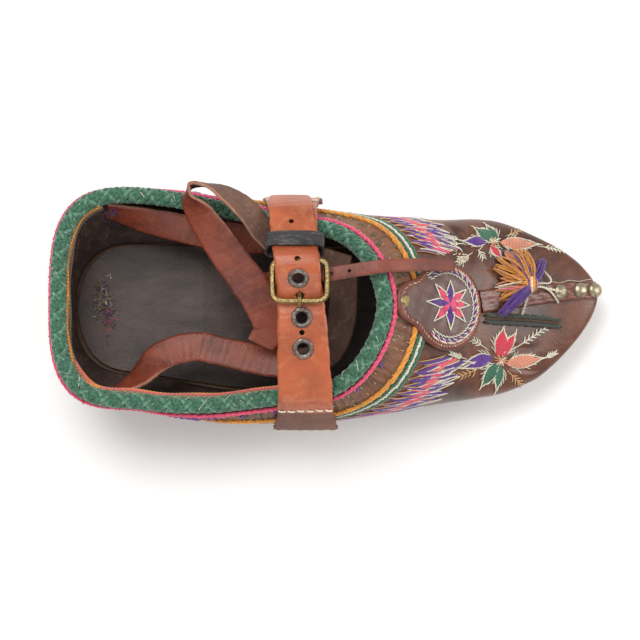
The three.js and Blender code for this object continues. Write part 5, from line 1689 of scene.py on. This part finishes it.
for k, (name, (width, steps, rows)) in enumerate(ankle_straps.items()):
    frames = strap_frames(rows, steps)
    holes = []
    flip = frames["face"][:, 2].mean() < 0
    if flip:
        frames["face"] *= -1
    if name == "ankle_strap_tip":
        for share in (0.50, 0.56, 0.62):
            i = int(share * steps)
            holes.append((frames["centre"][i], frames["face"][i], 0.75))
    turned = {"ankle_strap_loop": (0, 0.52), "ankle_strap_outer": (0.58, 1.0)}.get(name, (0, 0))
    thong = name.replace("strap", "thong")
    strap_piece(
        thong, frames, width, 1.8, ankle_materials, name, 13, 0.1, 0.07, k * 1.7, holes,
        turned,
    )

# Insole and sole: a sock of thin leather worn grey and greasy by the foot, on an outsole
# and heel of plain sole leather, sewn along the edge with heavy thread.
insole_leather = leather(
    "insole_leather", "50403a", "2a1f1b", "75635a", 0.85, 0.15, 0.45, 1.0, 0.05, (0.6, 1.2, 1)
)
sole_leather = leather("sole_leather", "7d5a3d", "46301f", "a98763", 0.6, 0.5, 0.5, 0.8, 0.0, (0.6, 1, 3))
heel_leather = leather("heel_leather", "5c4230", "33241a", "8a6c50", 0.6, 0.5, 0.5, 0.9, 0.0, (0.3, 0.3, 9))
for name, material in (("insole", insole_leather), ("outsole", sole_leather), ("heel", heel_leather)):
    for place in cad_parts[name].material_slots:
        place.material = material
welt_store = skein()
foot_line = on_ribs(np.full((ribs, 1), -0.97))[:, 0]
foot_line = evenly(foot_line, 230, closed=True)
for k in range(230):
    a, b = foot_line[k], foot_line[(k + 1) % 230]
    out = np.cross(b - a, (0, 0, 1))
    out /= np.linalg.norm(out)
    t = np.linspace(0.12, 0.88, 5)[:, None]
    line = a + (b - a) * t + out * (0.35 + 0.3 * np.sin(t * math.pi)) + np.array([0, 0, 0.9])
    lay_yarn(welt_store, line, 0.42, "tan", 6)
yarn_piece("welt_stitches", welt_store)

# Inside the heel: backs of the embroidery's stitches showing through the lining, yarn in
# orange, straw and pink under the cord's inner edge, and fluff caught at the back.
lining_store = skein()
for k in range(700):
    i = chance.randrange(ribs)
    if cord_middle[i, 0] > 45:
        continue
    share = 0.5 - 1.15 * chance.random() ** 1.5
    tall = chance.uniform(0.03, 0.12)
    j = (i + chance.choice([-2, -1, 0, 1, 2])) % ribs
    pair = np.array([share, share - tall])
    points = on_ribs(np.tile(pair, (ribs, 1)), wall + 0.25)
    a, b = points[i, 0], points[j, 1]
    t = np.linspace(0, 1, 4)[:, None]
    colour = chance.choice(["purple", "pink", "dry_brown", "straw", "purple", "straw", "dry_brown"])
    lay_yarn(lining_store, a + (b - a) * t, 0.18, colour, 5)
inward = np.cross(cord_ahead, (0, 0, 1))
inward *= np.sign(np.sum(inward * (np.array([60.0, 0, 0]) - cord_path), axis=1, keepdims=True))
inward /= np.linalg.norm(inward, axis=1, keepdims=True)
at_heel, at_wall = cord_path[:, 0] < -14, (cord_path[:, 1] < -30) & (cord_path[:, 0] < 78)
for colour, keep, near, low, radius in (
    ("orange", at_heel, 3.5, 1.8, 0.7), ("straw", at_heel, 3.9, 3.2, 0.6), (
        "straw", at_wall, 3.7, 2.2, 0.8
    ),
    ("pink", at_wall, 4.6, 2.4, 0.5), ("orange", at_wall, 5.1, 3.2, 0.45), (
        "dry_brown", at_heel, 4.2, 4.6, 0.9
    ),
):
    line = (cord_path + inward * near - np.array([0, 0, low]))[keep]
    steps = np.linalg.norm(np.diff(line, axis=0), axis=1)
    if steps.max() > 5:
        line = np.roll(line, -int(np.argmax(steps) + 1), axis=0)
    for phase in (0, math.pi):
        spin = np.arange(len(line)) * 1.0 + phase
        stray = 0.35 * np.sin(np.arange(len(line)) * 0.12 + low)[:, None] * np.array([1.0, 0.6, 1.0])
        turn = 0.6 * radius * np.stack([np.cos(spin), np.cos(spin), np.sin(spin)], -1)
        lay_yarn(lining_store, line + stray + turn, radius * 0.75, colour, 6)
# a tuft of straw and fluff at the back of the insole, purple ends over the inner thong's seam
insole_top = heel_lift + outsole_thick + clearance + insole_thick
seam_end = strap_frames(ankle_straps["ankle_strap_inner"][2], 140)["centre"][6]
tufts = [
    (
        260, (-15.5, 5.0, insole_top + 0.3), (2.2, 4.2, 0.5),
        ("straw", "straw", "dry_brown", "dry_brown", "cream", "purple"),
    ),
    (70, (-12.5, -4.0, insole_top + 0.3), (1.6, 4.0, 0.4), ("straw", "dry_brown", "purple", "pink")),
    (
        150, seam_end + np.array([-1.5, 1.0, 2.0]), (2.6, 1.3, 1.6),
        ("purple", "purple", "purple", "dry_brown"),
    ),
]
for count, heart, spread, colours in tufts:
    for k in range(count):
        place = np.array([heart[c] + chance.gauss(0, spread[c]) for c in range(3)])
        place[2] = max(place[2], insole_top + 0.1)
        way = np.array([chance.gauss(0, 1), chance.gauss(0, 1), chance.gauss(0, 0.3)])
        way *= chance.uniform(0.5, 1.5) / np.linalg.norm(way)
        t = np.linspace(-1, 1, 5)[:, None]
        curl = np.array([-way[1], way[0], 0.3]) * chance.uniform(-0.6, 0.6)
        lay_yarn(
            lining_store, place + way * t + curl * t * t, chance.uniform(0.08, 0.17),
            chance.choice(colours), 5,
        )
yarn_piece("lining_stitches", lining_store)
